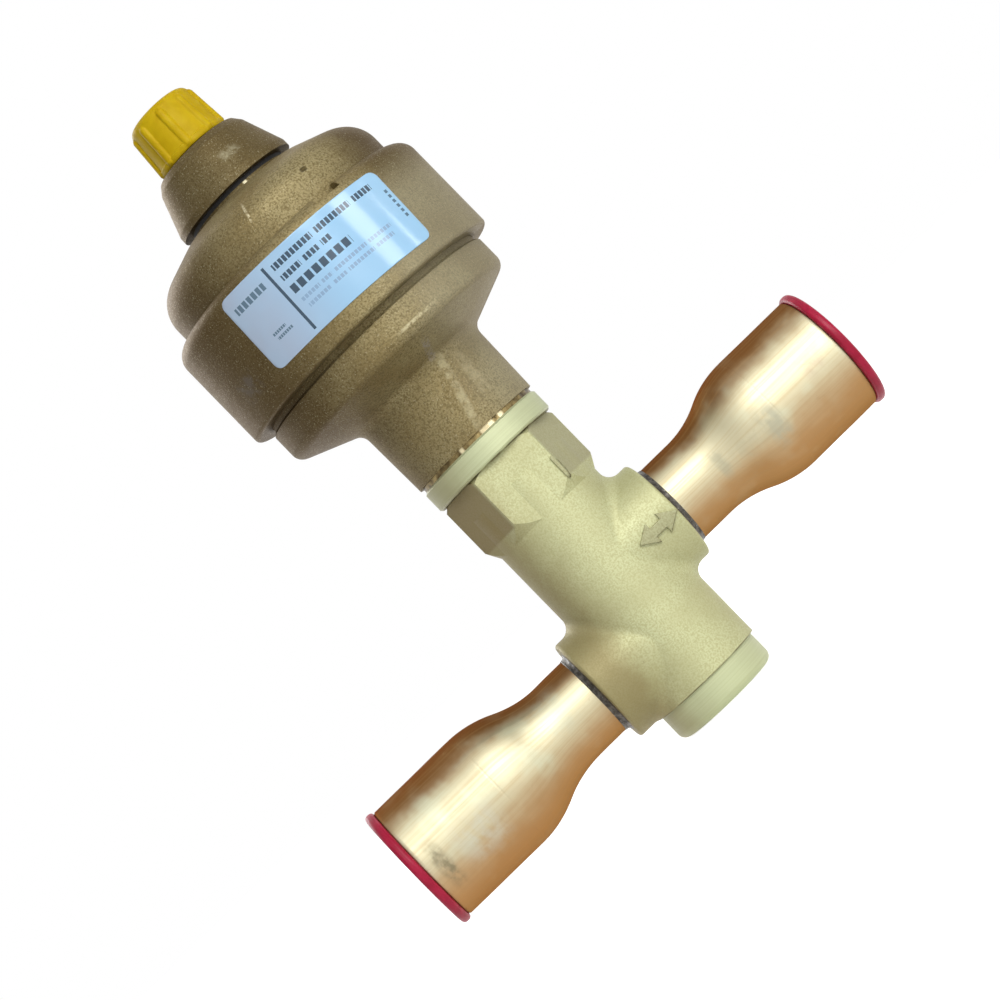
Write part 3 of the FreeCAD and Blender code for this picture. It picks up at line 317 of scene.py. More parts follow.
def copper(name, marks):
    """Drawn copper, with painted shade in brown along its upper edge and its lower side, and a pale painted
    highlight between them.
    """
    pale, painted_shade_brown, painted_edge_shade = (0.535, 0.490, 0.330), (0.385, 0.222, 0.092), (0.170, 0.072, 0.022)
    drawn_tone, silvery_highlight_tone, stained = (0.42, 0.285, 0.14), (0.55, 0.58, 0.43), (0.34, 0.235, 0.12)
    p = Paint(name)
    around = p.parts(p.surface())[0]
    x, y, z = p.parts(p.place())
    level = p.math("COSINE", p.math("DIVIDE", around, socket_r_mm))
    drawn = p.grain(p.surface((0.9, 60.0, 1.0)), 1.0, 3.0, 0.6)
    blotch = p.grain(p.place(), 13.0, 3.0, 0.55)
    level = p.math("ADD", level, p.math("MULTIPLY", p.math("SUBTRACT", blotch, 0.5), 0.55))
    # Painted shade on the upper edge and the lower side, round the tube; the pale band left between them is
    # a painted highlight.
    upper = p.spread(level, 0.50, 1.0)
    lower = p.spread(level, -0.75, 0.02, 1.0, 0.0)
    brown = p.math("MAXIMUM", upper, lower)
    colour = p.blend(brown, pale, painted_shade_brown)
    # Deeper painted shade right along the upper edge.
    colour = p.blend(p.spread(level, 0.55, 0.90, 0.0, 0.80), colour, painted_edge_shade)
    colour = p.blend(p.spread(drawn, 0.42, 0.72, 0.0, 0.30), colour, drawn_tone)
    # Paler silvery patches at random, kept within the painted highlight.
    highlight_mottle = p.spread(p.grain(p.place(), 9.0, 2.0), 0.52, 0.72, 0.0, 0.5)
    highlight_mottle = p.math("MULTIPLY", highlight_mottle, p.spread(brown, 0.0, 0.8, 1.0, 0.15))
    colour = p.blend(highlight_mottle, colour, silvery_highlight_tone)
    stain = p.spread(p.grain(p.place((2.2, 1.0, 1.0)), 2.4, 4.0, 0.65, 0.5), 0.62, 0.78, 0.0, 0.4)
    colour = p.blend(stain, colour, stained)

    for middle_x, middle_z, half_x, half_z, strength, tint in marks:
        spot = p.math("MULTIPLY", p.near(x, middle_x, half_x * 0.4, half_x),
                      p.near(z, middle_z, half_z * 0.4, half_z))
        spot = p.math("MULTIPLY", spot, p.spread(y, -2.0, 2.0, 1.0, 0.0))
        ragged = p.spread(p.grain(p.place((1.0, 1.0, 1.6)), 3.0, 3.0, 0.6), 0.30, 0.62)
        colour = p.blend(p.math("MULTIPLY", p.math("MULTIPLY", spot, ragged), strength), colour, tint)

    rough = p.spread(drawn, 0.3, 0.7, 0.44, 0.54)
    rough = p.math("ADD", rough, p.math("MULTIPLY", brown, 0.10))
    normal = p.bump(drawn, 0.006)
    normal = p.bump(p.grain(p.place(), 8.0, 2.0), 0.10, normal)
    return p.finish(colour, rough, normal, 0.95, specular_ior_level=0.3, specular_tint=(0.30, 0.17, 0.09))


def braze():
    p = Paint("braze")
    here = p.place()
    lumps = p.grain(here, 1.2, 4.0, 0.6)
    colour = p.blend(p.spread(lumps, 0.35, 0.65), (0.035, 0.030, 0.024), (0.115, 0.105, 0.090))
    colour = p.blend(p.spread(p.grain(here, 0.5, 2.0), 0.64, 0.74, 0.0, 0.6), colour, (0.40, 0.40, 0.38))
    return p.finish(colour, p.spread(lumps, 0.3, 0.7, 0.55, 0.30), p.bump(lumps, 0.08), 0.55)


def plastic(name, colour, deep, roughness, soft=0.0, radius_mm=1.0, shine=0.5):
    """Moulded plastic with faint flow marks, scuffs and a pebbled skin."""
    p = Paint(name)
    here = p.place()
    flow = p.grain(here, 5.0, 2.0, 0.5, 0.8)
    tone = p.blend(p.spread(flow, 0.32, 0.68), deep, colour)
    scuff = p.spread(p.grain(p.place((0.35, 0.35, 3.0)), 1.0, 3.0, 0.6), 0.68, 0.78, 0.0, 0.35)
    tone = p.blend(scuff, tone, [min(1.0, c * 0.8 + 0.14) for c in colour])
    rough = p.spread(flow, 0.3, 0.7, roughness + 0.06, roughness - 0.05)
    skin = p.bump(p.grain(here, 0.25, 2.0), 0.010)
    radius = radius_mm * mm
    sockets = {}
    if soft:
        sockets["subsurface_weight"] = soft
        sockets["subsurface_radius"] = (radius, radius * 0.5, radius * 0.25)
    return p.finish(tone, rough, skin, 0.0, specular_ior_level=shine, **sockets)


def turned_metal(name, colour, roughness, line_mm=0.12):
    """Machined metal with fine tool lines round its axis."""
    p = Paint(name)
    lines = p.grain(p.place((30.0, 30.0, line_mm)), 1.0, 2.0)
    cloud = p.grain(p.place(), 4.0, 3.0)
    tone = p.blend(p.spread(cloud, 0.3, 0.7), [c * 0.82 for c in colour], colour)
    rough = p.spread(lines, 0.3, 0.7, roughness - 0.07, roughness + 0.09)
    return p.finish(tone, rough, p.bump(lines, 0.006), 1.0)


def gasket_metal():
    """A brown pressed ring with painted glints on its lip."""
    p = Paint("bright_metal")
    here = p.place()
    x, y, _ = p.parts(here)
    dents = p.grain(here, 2.2, 3.0, 0.5)
    tone = p.blend(p.spread(dents, 0.35, 0.68), (0.085, 0.058, 0.022), (0.30, 0.225, 0.095))
    # Painted glints on the front of the lip.
    for middle, half, strength in gasket_glints:
        glint = p.math("MULTIPLY", p.near(x, middle, half, 0.55), p.spread(y, -3.0, -2.0, 1.0, 0.0))
        tone = p.blend(p.math("MULTIPLY", glint, strength), tone, (0.80, 0.70, 0.44))
    return p.finish(tone, 0.34, p.bump(dents, 0.25), 0.85)


def rubber():
    p = Paint("black_rubber")
    dust = p.grain(p.place(), 0.6, 4.0, 0.7)
    tone = p.blend(p.spread(dust, 0.5, 0.8), (0.012, 0.012, 0.012), (0.06, 0.058, 0.052))
    return p.finish(tone, 0.62, p.bump(dust, 0.02), 0.0)


def winding_wire():
    """Enamelled wire laid in close turns, with painted shade between them."""
    p = Paint("copper_wire")
    height = p.parts(p.place())[2]
    wire_mm = 0.34
    turn = p.math("PINGPONG", height, wire_mm / 2)
    crown = p.spread(turn, 0.0, wire_mm / 2)
    # Painted shade in the grooves between the turns; the crowns are lighter.
    tone = p.blend(crown, (0.16, 0.045, 0.018), (0.62, 0.26, 0.11))
    tone = p.blend(p.spread(p.grain(p.place(), 2.5), 0.4, 0.75, 0.0, 0.5), tone, (0.42, 0.15, 0.05))
    return p.finish(tone, 0.28, p.bump(crown, 0.12), 0.85)


def ferrite():
    p = Paint("magnet")
    grit = p.grain(p.place(), 0.5, 3.0)
    tone = p.blend(p.spread(grit, 0.35, 0.7), (0.045, 0.045, 0.050), (0.11, 0.11, 0.12))
    return p.finish(tone, 0.55, p.bump(grit, 0.03), 0.4)


def printed_film():
    """Pale blue label film with fields of print in place of any words."""
    p = Paint("label_film")
    left_blue, right_blue = (0.405, 0.505, 0.655), (0.325, 0.585, 0.830)
    across, up, _ = p.parts(p.surface())
    tone = p.blend(p.spread(across, 2.0, label_width_mm * 0.6), left_blue, right_blue)
    tone = p.blend(p.spread(p.grain(p.place(), 12.0, 2.0), 0.4, 0.7, 0.0, 0.3), tone, (0.385, 0.620, 0.840))

    def within(value, low, high):
        """1 from low to high, and 0 elsewhere."""
        made = p.node("ShaderNodeMath", operation="COMPARE")
        p.link(value, made.inputs[0])
        made.inputs[1].default_value = (low + high) / 2
        made.inputs[2].default_value = (high - low) / 2
        return made.outputs[0]

    for ink, pitch, fields in print_fields:
        mask = None
        for left, right, bottom, top in fields:
            made = p.math("MULTIPLY", within(across, left, right), within(up, bottom, top))
            mask = made if mask is None else p.math("MAXIMUM", mask, made)
        if pitch:
            comb = p.math("LESS_THAN", p.math("FRACT", p.math("DIVIDE", across, pitch)), letter_share)
            mask = p.math("MULTIPLY", mask, comb)
        tone = p.blend(mask, tone, ink)
    normal = p.bump(p.grain(p.place(), 2.6, 3.0), 0.03)
    return p.finish(tone, 0.16, normal, 0.0, coat_weight=0.5, coat_roughness=0.10)


# Places that the materials and pieces share
body_high = low_high("valve_body")[1]
collar_height_mm = 5.5
boss_top_mm = 7.3
low_copper_low, low_copper_high = low_high("low_copper_adapter")
high_copper_low, high_copper_high = low_high("high_copper_adapter")
socket_r_mm = (low_copper_high.y - low_copper_low.y) / 2
low_axis_z = (low_copper_low.z + low_copper_high.z) / 2
high_axis_z = (high_copper_low.z + high_copper_high.z) / 2
label_width_mm = 47.5
label_height_mm = 19.4

# Where the brass changes its tone, painted shade and painted light included. Each pair says where a fade
# starts and ends:
# along x for the pairs named left, right or edge and for the x of the painted light, along y for front and
# behind, and along z for the others.
front_y_mm = (-6.0, -2.0)
# Painted shade on the left and right sides, and the heights where it grows on the right.
painted_shade_left_mm = (-27.0, -3.0)
painted_shade_right_mm = (14.0, 28.0)
painted_shade_height_mm = (128.0, 142.0)
dark_cover_mm = (153.0, 158.0)
# A painted pool of light on the front right, fading out between these heights.
painted_light_x_mm = (0.0, 17.0)
painted_light_height_mm = (128.0, 139.0)
# Painted shade, with a little patina, on the body's left side, weaker behind.
shade_and_patina_left_mm = (-15.0, -3.0)
shade_and_patina_behind_mm = (2.0, 10.0)
hexagon_foot_mm = (60.0, 60.8)
hexagon_edge_mm = (8.2, 8.9)


def words(left, lengths, bottom, height, gap):
    """A line of print: one field for each word."""
    line = []
    for length in lengths:
        line.append((left, left + length, bottom, bottom + height))
        left += length + gap
    return line


# Label places run from its lower left corner, across and up. Each ink has the pitch of its
# letter marks, or 0 for a plain field, and a mark takes letter_share of its pitch.
letter_share = 0.74
ink_dark = (0.022, 0.060, 0.105)
ink_soft = (0.085, 0.165, 0.240)
ink_pale = (0.250, 0.390, 0.580)
print_fields = (
    (ink_dark, 0.0, [(12.8, 13.5, 1.1, 18.3)]),
    (ink_dark, 1.12, words(14.95, (11.0, 9.9, 5.6), 15.9, 1.5, 1.2)
        + words(15.0, (5.3, 3.9, 2.7), 13.0, 1.4, 1.1)),
    (ink_dark, 2.12, words(15.0, (16.9,), 9.4, 2.0, 0.9)),
    (ink_pale, 0.95, words(15.2, (5.0, 2.8, 9.0, 6.6), 7.0, 0.9, 0.8)
        + words(15.6, (6.2, 3.6, 7.4, 5.0), 5.1, 0.9, 0.8)),
    (ink_soft, 1.45, words(1.9, (9.2,), 14.5, 1.7, 0.6)),
    (ink_soft, 0.62, words(4.9, (3.9,), 6.0, 0.65, 0.6) + words(5.3, (4.5,), 4.7, 0.65, 0.6)),
    (ink_soft, 0.0, [(45.8, 46.6, 6.6 + 1.35 * k, 7.4 + 1.35 * k) for k in range(6)]),
)

# Marks on the castings: middle x and z, half sizes, lean of x with z, strength, size of
# the ragged edge and colour. A mark whose colour sums to less than dent_darkness is a dent too.
dent_darkness = 0.2
cast_marks = (
    (11.74, 147.20, 0.60, 0.48, 0.0, 0.9, 0.0, (0.085, 0.062, 0.024)),
    (-3.74, 148.64, 0.28, 2.20, 0.25, 0.75, 0.7, (0.80, 0.72, 0.48)),
    (4.00, 163.75, 2.20, 1.30, -0.4, 0.36, 1.4, (0.52, 0.49, 0.33)),
    (3.40, 90.50, 1.00, 9.50, 0.26, 0.42, 2.2, (0.58, 0.53, 0.33)),
    (8.50, 91.00, 1.20, 6.00, 0.10, 0.30, 2.0, (0.54, 0.48, 0.30)),
    (4.60, 101.00, 0.90, 2.00, 0.2, 0.60, 0.8, (0.33, 0.31, 0.30)),
    (-29.00, 122.10, 2.20, 3.00, 0.0, 0.50, 2.0, (0.125, 0.112, 0.100)),
    # A painted glint along the underside of the ring.
    (6.50, 106.80, 4.50, 0.40, 0.0, 0.60, 0.8, (0.66, 0.60, 0.38)),
    # A painted glint in the groove under the connector cover.
    (2.07, 156.30, 0.45, 0.45, 0.0, 1.0, 0.0, (0.90, 0.84, 0.58)),
)
# Painted glints on the gasket: middle x, half width and strength
gasket_glints = ((-5.20, 0.20, 0.85), (2.30, 1.50, 0.55), (3.60, 0.40, 0.85), (6.55, 0.35, 0.85))

# Marks on the copper: middle x and z, half sizes, strength and colour
low_marks = (
    (-70.4, 18.5, 1.8, 5.5, 0.75, (0.17, 0.15, 0.09)),
    (-60.0, 18.0, 6.0, 5.0, 0.45, (0.50, 0.50, 0.42)),
    (-31.0, 25.0, 4.0, 5.0, 0.45, (0.45, 0.47, 0.36)),
)
high_marks = (
    (48.4, 37.0, 2.6, 5.0, 0.75, (0.36, 0.35, 0.26)),
    (42.0, 37.4, 6.0, 2.6, 0.50, (0.42, 0.38, 0.26)),
    (34.4, 38.9, 1.4, 3.6, 0.65, (0.36, 0.34, 0.24)),
    (63.4, 41.2, 2.8, 3.2, 0.50, (0.42, 0.33, 0.24)),
)

paints = {
    "cast_brass": cast_brass(),
    "forged_brass": forged_brass(),
    "relief_brass": relief_brass(),
    "braze": braze(),
    "red_plastic": plastic("red_plastic", (0.450, 0.013, 0.052), (0.350, 0.008, 0.036), 0.40,
                           soft=0.15, radius_mm=1.0, shine=0.22),
    "yellow_plastic": plastic("yellow_plastic", (0.590, 0.410, 0.006), (0.530, 0.355, 0.003), 0.52,
                              soft=0.12, radius_mm=0.8, shine=0.12),
    "white_plastic": plastic("white_plastic", (0.78, 0.76, 0.68), (0.70, 0.68, 0.60), 0.45),
    "black_plastic": plastic("black_plastic", (0.022, 0.022, 0.024), (0.012, 0.012, 0.013), 0.42),
    "bright_metal": gasket_metal(),
    "steel": turned_metal("steel", (0.60, 0.60, 0.59), 0.30),
    "bronze": turned_metal("bronze", (0.72, 0.50, 0.22), 0.34),
    "gold_contact": turned_metal("gold_contact", (0.95, 0.70, 0.28), 0.20, line_mm=0.3),
    "nickel": turned_metal("nickel", (0.70, 0.66, 0.58), 0.24, line_mm=0.3),
    "black_rubber": rubber(),
    "copper_wire": winding_wire(),
    "magnet": ferrite(),
    "label_film": printed_film(),
    "low_copper": copper("low_copper", low_marks),
    "high_copper": copper("high_copper", high_marks),
}


def paint_nodes():
    """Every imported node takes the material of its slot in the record."""
    slots = {row["node"]: row["material_slot"] for row in frame["record"]["subparts"]}
    for name, node in nodes.items():
        slot = slots[name]
        node.data.materials.clear()
        node.data.materials.append(paints["low_copper" if slot == "copper" else slot])


# Pieces

def add_piece(name, bm, material, body, slot, *replaced):
    mesh = bpy.data.meshes.new(name)
    bmesh.ops.recalc_face_normals(bm, faces=bm.faces)
    bm.to_mesh(mesh)
    bm.free()
    mesh.materials.append(material)
    for face in mesh.polygons:
        face.use_smooth = True
    piece = bpy.data.objects.new(name, mesh)
    bpy.context.scene.collection.objects.link(piece)
    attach(piece, body)
    if replaced:
        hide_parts(*replaced)


def lathe(outline, steps, radius_change, lay):
    """A closed turned mesh from (radius, along) points, with its surface laid out in millimetres.

    The outline runs round a section and closes by itself. A point on the axis has radius 0.
    """
    on_axis = 1e-6
    bm = bmesh.new()
    sheet = bm.loops.layers.uv.new("laid_out")
    widest = max(radius for radius, _ in outline)
    rows = []
    travelled = [0.0]
    for (r0, a0), (r1, a1) in zip(outline, outline[1:]):
        travelled.append(travelled[-1] + sqrt((r1 - r0) ** 2 + (a1 - a0) ** 2))
    for radius, along in outline:
        if radius < on_axis:
            rows.append([bm.verts.new(lay(0.0, 0.0, along) * mm)] * steps)
            continue
        row = []
        for k in range(steps):
            turn = 2 * pi * k / steps
            reach = radius + radius_change(turn, radius, along)
            row.append(bm.verts.new(lay(reach * cos(turn), reach * sin(turn), along) * mm))
        rows.append(row)
    for a in range(len(rows)):
        b = (a + 1) % len(rows)
        if outline[a][0] < on_axis and outline[b][0] < on_axis:
            continue
        for k in range(steps):
            n = (k + 1) % steps
            corners = []
            for row, column, order in ((a, k, k), (a, n, k + 1), (b, n, k + 1), (b, k, k)):
                vert = rows[row][column]
                if vert not in [c[0] for c in corners]:
                    corners.append((vert, order, row))
            face = bm.faces.new([c[0] for c in corners])
            for loop, (_, order, row) in zip(face.loops, corners):
                loop[sheet].uv = (2 * pi * widest * order / steps, travelled[row])
    return bm


def along_x(side, axis_z):
    """Lays a turned outline on a port's axis: the first radius points up."""
    def lay(up, across, along):
        return Vector((side * along, -side * across, axis_z + up))
    return lay


def along_z(x, y, along):
    """Lays a turned outline on the valve's own axis."""
    return Vector((x, y, along))


# Copper adapters
port_face_mm = 20.0
neck_start_mm = -6.5
flare_start_mm = 29.5
flare_end_mm = 51.5
neck_r_mm = 10.4
copper_wall_mm = 1.35
socket_edge_mm = 0.4
ring_line_mm = 50.7
ring_line_half_mm = 0.22
ring_line_depth_mm = 0.045
copper_steps = 160
outer_step_mm = 0.7
inner_step_mm = 1.2
uneven_mm = 0.14
uneven_start_mm = 24.0
uneven_fade_mm = 5.0
uneven_across_mm = 11.0
uneven_along_mm = 13.0


def flare_radius(x, start_r, end_r):
    """Two equal arcs carry one radius over to the other."""
    length = flare_end_mm - flare_start_mm
    rise = end_r - start_r
    bend_r = (length ** 2 + rise ** 2) / (4 * rise)
    if x <= flare_start_mm:
        return start_r
    if x >= flare_end_mm:
        return end_r
    if x < flare_start_mm + length / 2:
        return start_r + bend_r - sqrt(bend_r ** 2 - (x - flare_start_mm) ** 2)
    return end_r - bend_r + sqrt(bend_r ** 2 - (flare_end_mm - x) ** 2)


def stations(start, end, step):
    """Even places from start to end, about one step apart."""
    count = max(1, round((end - start) / step))
    return [start + (end - start) * k / count for k in range(count + 1)]


def copper_outline(end_x):
    foot = port_face_mm + neck_start_mm
    line_low = ring_line_mm - ring_line_half_mm
    line_high = ring_line_mm + ring_line_half_mm
    outer = stations(foot, line_low - ring_line_half_mm, outer_step_mm)
    outer += [line_low, ring_line_mm, line_high]
    outer += stations(line_high + ring_line_half_mm, end_x - socket_edge_mm, outer_step_mm)
    points = []
    for x in outer:
        groove = ring_line_depth_mm if x == ring_line_mm else 0.0
        points.append((flare_radius(x, neck_r_mm, socket_r_mm) - groove, x))
    inner_neck = neck_r_mm - copper_wall_mm
    inner_socket = socket_r_mm - copper_wall_mm
    points.append((socket_r_mm - socket_edge_mm, end_x))
    points.append((inner_socket, end_x))
    inner = reversed(stations(foot, end_x - 0.5, inner_step_mm))
    points += [(flare_radius(x, inner_neck, inner_socket), x) for x in inner]
    return points


def copper_shape(seed):
    """Slight unevenness of the drawn wall, away from the body and from the plug."""
    def change(turn, radius, along):
        if radius < flare_radius(along, neck_r_mm, socket_r_mm) - copper_wall_mm / 2:
            return 0.0
        fade = min(1.0, max(0.0, (along - uneven_start_mm) / uneven_fade_mm))
        spot = Vector((seed + radius * cos(turn) / uneven_across_mm, radius * sin(turn) / uneven_across_mm,
                       along / uneven_along_mm))
        return fade * uneven_mm * noise.noise(spot)
    return change


def add_copper(name, side, axis_z, end_x, seed):
    bm = lathe(copper_outline(end_x), copper_steps, copper_shape(seed), along_x(side, axis_z))
    add_piece(name + "_copper_tube", bm, paints[name + "_copper"], "valve_shell", "copper",
              name + "_copper_adapter")


# Braze
braze_r_mm = 11.45
braze_length_mm = 1.4
braze_points = 9
braze_steps = 180
braze_start_mm = 0.01
braze_skin_mm = 0.08
braze_hollow = 2.0
braze_lean = 1.6
lump_mm = 0.20
lump_offset_mm = 0.05
lump_fade_mm = 0.4
lumps_around = 4.2
lumps_along = 0.7


def add_braze(name, side, axis_z, seed):
    """A lumpy fillet of solder, hollow towards the corner."""
    legs = braze_r_mm - neck_r_mm
    inner_r = neck_r_mm + braze_start_mm
    curve = []
    for k in range(braze_points):
        share = k / (braze_points - 1)
        out = legs * (1 - share) ** braze_hollow
        along = braze_length_mm * share ** braze_lean
        curve.append((neck_r_mm + braze_skin_mm + out, port_face_mm + along))
    outline = [(inner_r, port_face_mm)] + curve + [(inner_r, port_face_mm + braze_length_mm)]

    def change(turn, radius, along):
        if radius < neck_r_mm + braze_skin_mm / 2:
            return 0.0
        spot = Vector((seed + lumps_around * cos(turn), lumps_around * sin(turn), along * lumps_along))
        fade = min(1.0, (radius - neck_r_mm) / lump_fade_mm)
        return lump_mm * noise.noise(spot) * fade + lump_offset_mm

    bm = lathe(outline, braze_steps, change, along_x(side, axis_z))
    add_piece(name + "_braze", bm, paints["braze"], "valve_shell", "braze", name + "_braze_ring")


# Connector thread
thread_pitch_mm = 1.0
thread_depth_mm = 0.55
thread_step_mm = 0.0625
thread_above_cover_mm = 1.2
thread_below_end_mm = 0.6
thread_run_in_mm = 0.8
thread_run_out_mm = 0.5
thread_root = 1.25
thread_flank = 3.2
shell_lead_mm = 0.4
shell_steps = 96
shell_r_mm = 6.0
shell_bore_mm = 4.7
shell_flange_mm = 2.0
shell_edge_mm = 0.5


def add_connector_shell():
    low, high = low_high("connector_shell")
    cover_top = low_high("connector_cover")[1].z
    flange_r = (high.x - low.x) / 2
    flange_top = low.z + shell_flange_mm
    thread_start = cover_top + thread_above_cover_mm
    thread_end = high.z - thread_below_end_mm
    outline = [(shell_bore_mm, low.z), (flange_r, low.z), (flange_r, flange_top)]
    outline += [(shell_r_mm, flange_top), (shell_r_mm, cover_top)]
    outline += [(shell_r_mm, z) for z in stations(cover_top + shell_lead_mm, thread_start, shell_lead_mm)]
    outline += [(shell_r_mm, z) for z in stations(thread_start + 0.06, thread_end, thread_step_mm)]
    outline += [(shell_r_mm, high.z - shell_edge_mm), (shell_r_mm - shell_edge_mm, high.z)]
    outline += [(shell_bore_mm, high.z)]

    def change(turn, radius, along):
        """A trapezium thread that fades in and out."""
        if abs(radius - shell_r_mm) > 1e-6 or along < thread_start or along > thread_end:
            return 0.0
        phase = (along / thread_pitch_mm - turn / (2 * pi)) % 1.0
        fade = min(1.0, (along - thread_start) / thread_run_in_mm, (thread_end - along) / thread_run_out_mm)
        cut = min(1.0, max(0.0, thread_root - abs(phase - 0.5) * thread_flank))
        return -thread_depth_mm * fade * cut

    bm = lathe(outline, shell_steps, change, along_z)
    add_piece("threaded_connector_shell", bm, paints["nickel"], "valve_shell", "bright_metal",
              "connector_shell")


# Raised marks on the forging
arrow_middle_mm = (14.05, 38.4)
arrow_length_mm = 11.4
arrow_head_mm = 4.2
arrow_width_mm = 5.4
arrow_shaft_mm = 2.3
arrow_rise_mm = 0.75
rib_middle_mm = (7.85, 63.0)
rib_length_mm = 6.4
rib_width_mm = 0.85
rib_rise_mm = 0.55
relief_sunk_mm = 0.25
relief_bevel_mm = 0.25
relief_step_mm = 0.7


def body_surface():
    """Where the body's front is, seen along +Y, and which way it faces there."""
    mesh = nodes["valve_body"].data
    tree = BVHTree.FromPolygons([v.co for v in mesh.vertices], [p.vertices for p in mesh.polygons])

    def at(x, z):
        place, facing, _, _ = tree.ray_cast(Vector((x * mm, -0.1, z * mm)), Vector((0.0, 1.0, 0.0)))
        return place / mm, facing
    return at


def add_raised_shape(name, middle, corners, faces, rise, surface_at):
    """A low relief with sloped sides: flat corners (u, v) are laid on the body's front.

    Each face lists the corners of one convex area.
    """
    bm = bmesh.new()
    bottom = [bm.verts.new((u, v, -relief_sunk_mm)) for u, v in corners]
    for face in faces:
        bm.faces.new([bottom[k] for k in face])
    made = bmesh.ops.extrude_face_region(bm, geom=bm.faces[:])
    for part in made["geom"]:
        if isinstance(part, bmesh.types.BMVert):
            part.co.z = rise
    bm.normal_update()
    rim = [e for e in bm.edges if all(v.co.z > 0 for v in e.verts)
           and any(abs(f.normal.z) < 0.5 for f in e.link_faces)]
    bevel = min(relief_bevel_mm, rise * 0.6)
    bmesh.ops.bevel(bm, geom=rim, offset=bevel, segments=3, profile=0.6, affect="EDGES")
    bmesh.ops.triangulate(bm, faces=bm.faces[:])
    for _ in range(3):
        long = [e for e in bm.edges if e.calc_length() > relief_step_mm]
        bmesh.ops.subdivide_edges(bm, edges=long, cuts=1)
        bmesh.ops.triangulate(bm, faces=bm.faces[:])
    for vert in bm.verts:
        u, v, out = vert.co
        place, facing = surface_at(middle[0] + u, middle[1] + v)
        vert.co = (place + facing * out) * mm
    add_piece(name, bm, paints["relief_brass"], "valve_shell", "forged_brass")


def add_flow_arrow(surface_at):
    half = arrow_length_mm / 2
    side = arrow_shaft_mm / 2
    wing = arrow_width_mm / 2
    neck = half - arrow_head_mm
    corners = [(-half, 0), (-neck, -wing), (-neck, -side), (neck, -side), (neck, -wing),
               (half, 0), (neck, wing), (neck, side), (-neck, side), (-neck, wing)]
    faces = [(0, 1, 2, 8, 9), (2, 3, 7, 8), (3, 4, 5, 6, 7)]
    add_raised_shape("flow_arrow", arrow_middle_mm, corners, faces, arrow_rise_mm, surface_at)


def add_rib_mark(surface_at):
    half = rib_width_mm / 2
    reach = rib_length_mm / 2
    corners = [(-half, half - reach), (0, -reach), (half, half - reach),
               (half, reach - half), (0, reach), (-half, reach - half)]
    add_raised_shape("forging_rib", rib_middle_mm, corners, [range(6)], rib_rise_mm, surface_at)


# Dust cap
cap_walls_mm = {"foot_r": 9.45, "wall_r": 9.20, "top_r": 8.35, "room_r": 6.3}
cap_band_mm = 1.6
cap_edge_mm = 1.8
cap_roof_mm = 1.9
cap_ribs = 9
cap_rib_phase = radians(28.0)
cap_rib_half_mm = 1.0
cap_rib_rise_mm = 0.62
cap_rib_foot_share = 0.75
cap_rib_below_edge_mm = 0.8
cap_rib_lead_mm = 0.3
cap_outside_r_mm = 6.6
cap_crown_r_mm = 3.0
cap_steps = 324
cap_foot_step_mm = 0.15
cap_wall_step_mm = 0.25
cap_arc_points = 8
cap_foot_edge_mm = 0.15
cap_seal_gap_mm = 0.3


def add_cap():
    """The dust cap with full round ribs that start in its plain foot band."""
    low, high = low_high("dust_cap")
    seal_high = low_high("cap_seal")[1]
    seal_room_r = seal_high.x + cap_seal_gap_mm
    foot_r, wall_r, top_r, room_r = cap_walls_mm.values()
    band_top = low.z + cap_band_mm
    rib_foot = low.z + cap_band_mm * cap_rib_foot_share
    rib_top = high.z - cap_edge_mm - cap_rib_below_edge_mm
    rounding_z = high.z - cap_edge_mm
    roof_z = high.z - cap_roof_mm

    def wall(z):
        return wall_r + (top_r - wall_r) * (z - band_top) / (high.z - band_top)

    outline = [(seal_room_r, low.z), (foot_r - cap_foot_edge_mm, low.z), (foot_r, low.z + cap_foot_edge_mm)]
    outline += [(foot_r, z) for z in stations(rib_foot - cap_rib_lead_mm, band_top - 0.06, cap_foot_step_mm)]
    outline += [(wall(z), z) for z in stations(band_top, rounding_z, cap_wall_step_mm)]
    corner_r = wall(rounding_z) - cap_edge_mm
    for k in range(1, cap_arc_points + 1):
        turn = k / cap_arc_points * pi / 2
        outline.append((corner_r + cap_edge_mm * cos(turn), rounding_z + cap_edge_mm * sin(turn)))
    outline += [(cap_crown_r_mm, high.z), (0.0, high.z), (0.0, roof_z), (room_r, roof_z)]
    outline += [(room_r, seal_high.z), (seal_room_r, seal_high.z)]

    def ribs(turn, radius, along):
        """How far a rib stands out of the wall, or of the foot band where that is wider."""
        if radius < cap_outside_r_mm or along < rib_foot - cap_rib_lead_mm:
            return 0.0
        step = 2 * pi / cap_ribs
        off = (turn - cap_rib_phase + step / 2) % step - step / 2
        aside = abs(off) * radius
        beyond = max(0.0, along - rib_top, rib_foot - along)
        away = sqrt(aside ** 2 + beyond ** 2) / cap_rib_half_mm
        if away >= 1.0:
            return 0.0
        rise = cap_rib_rise_mm * sqrt(1.0 - away ** 2)
        band = radius - wall(along) if radius >= foot_r - 0.01 else 0.0
        return max(0.0, rise - band)

    bm = lathe(outline, cap_steps, ribs, along_z)
    add_piece("ribbed_dust_cap", bm, paints["yellow_plastic"], "cap", "yellow_plastic", "dust_cap")


# Label
label_tilt = radians(1.9)
label_corner_mm = 2.0
label_gap_mm = 0.03
label_columns = 96
label_corner_step_mm = 0.2
label_row_step_mm = 0.8


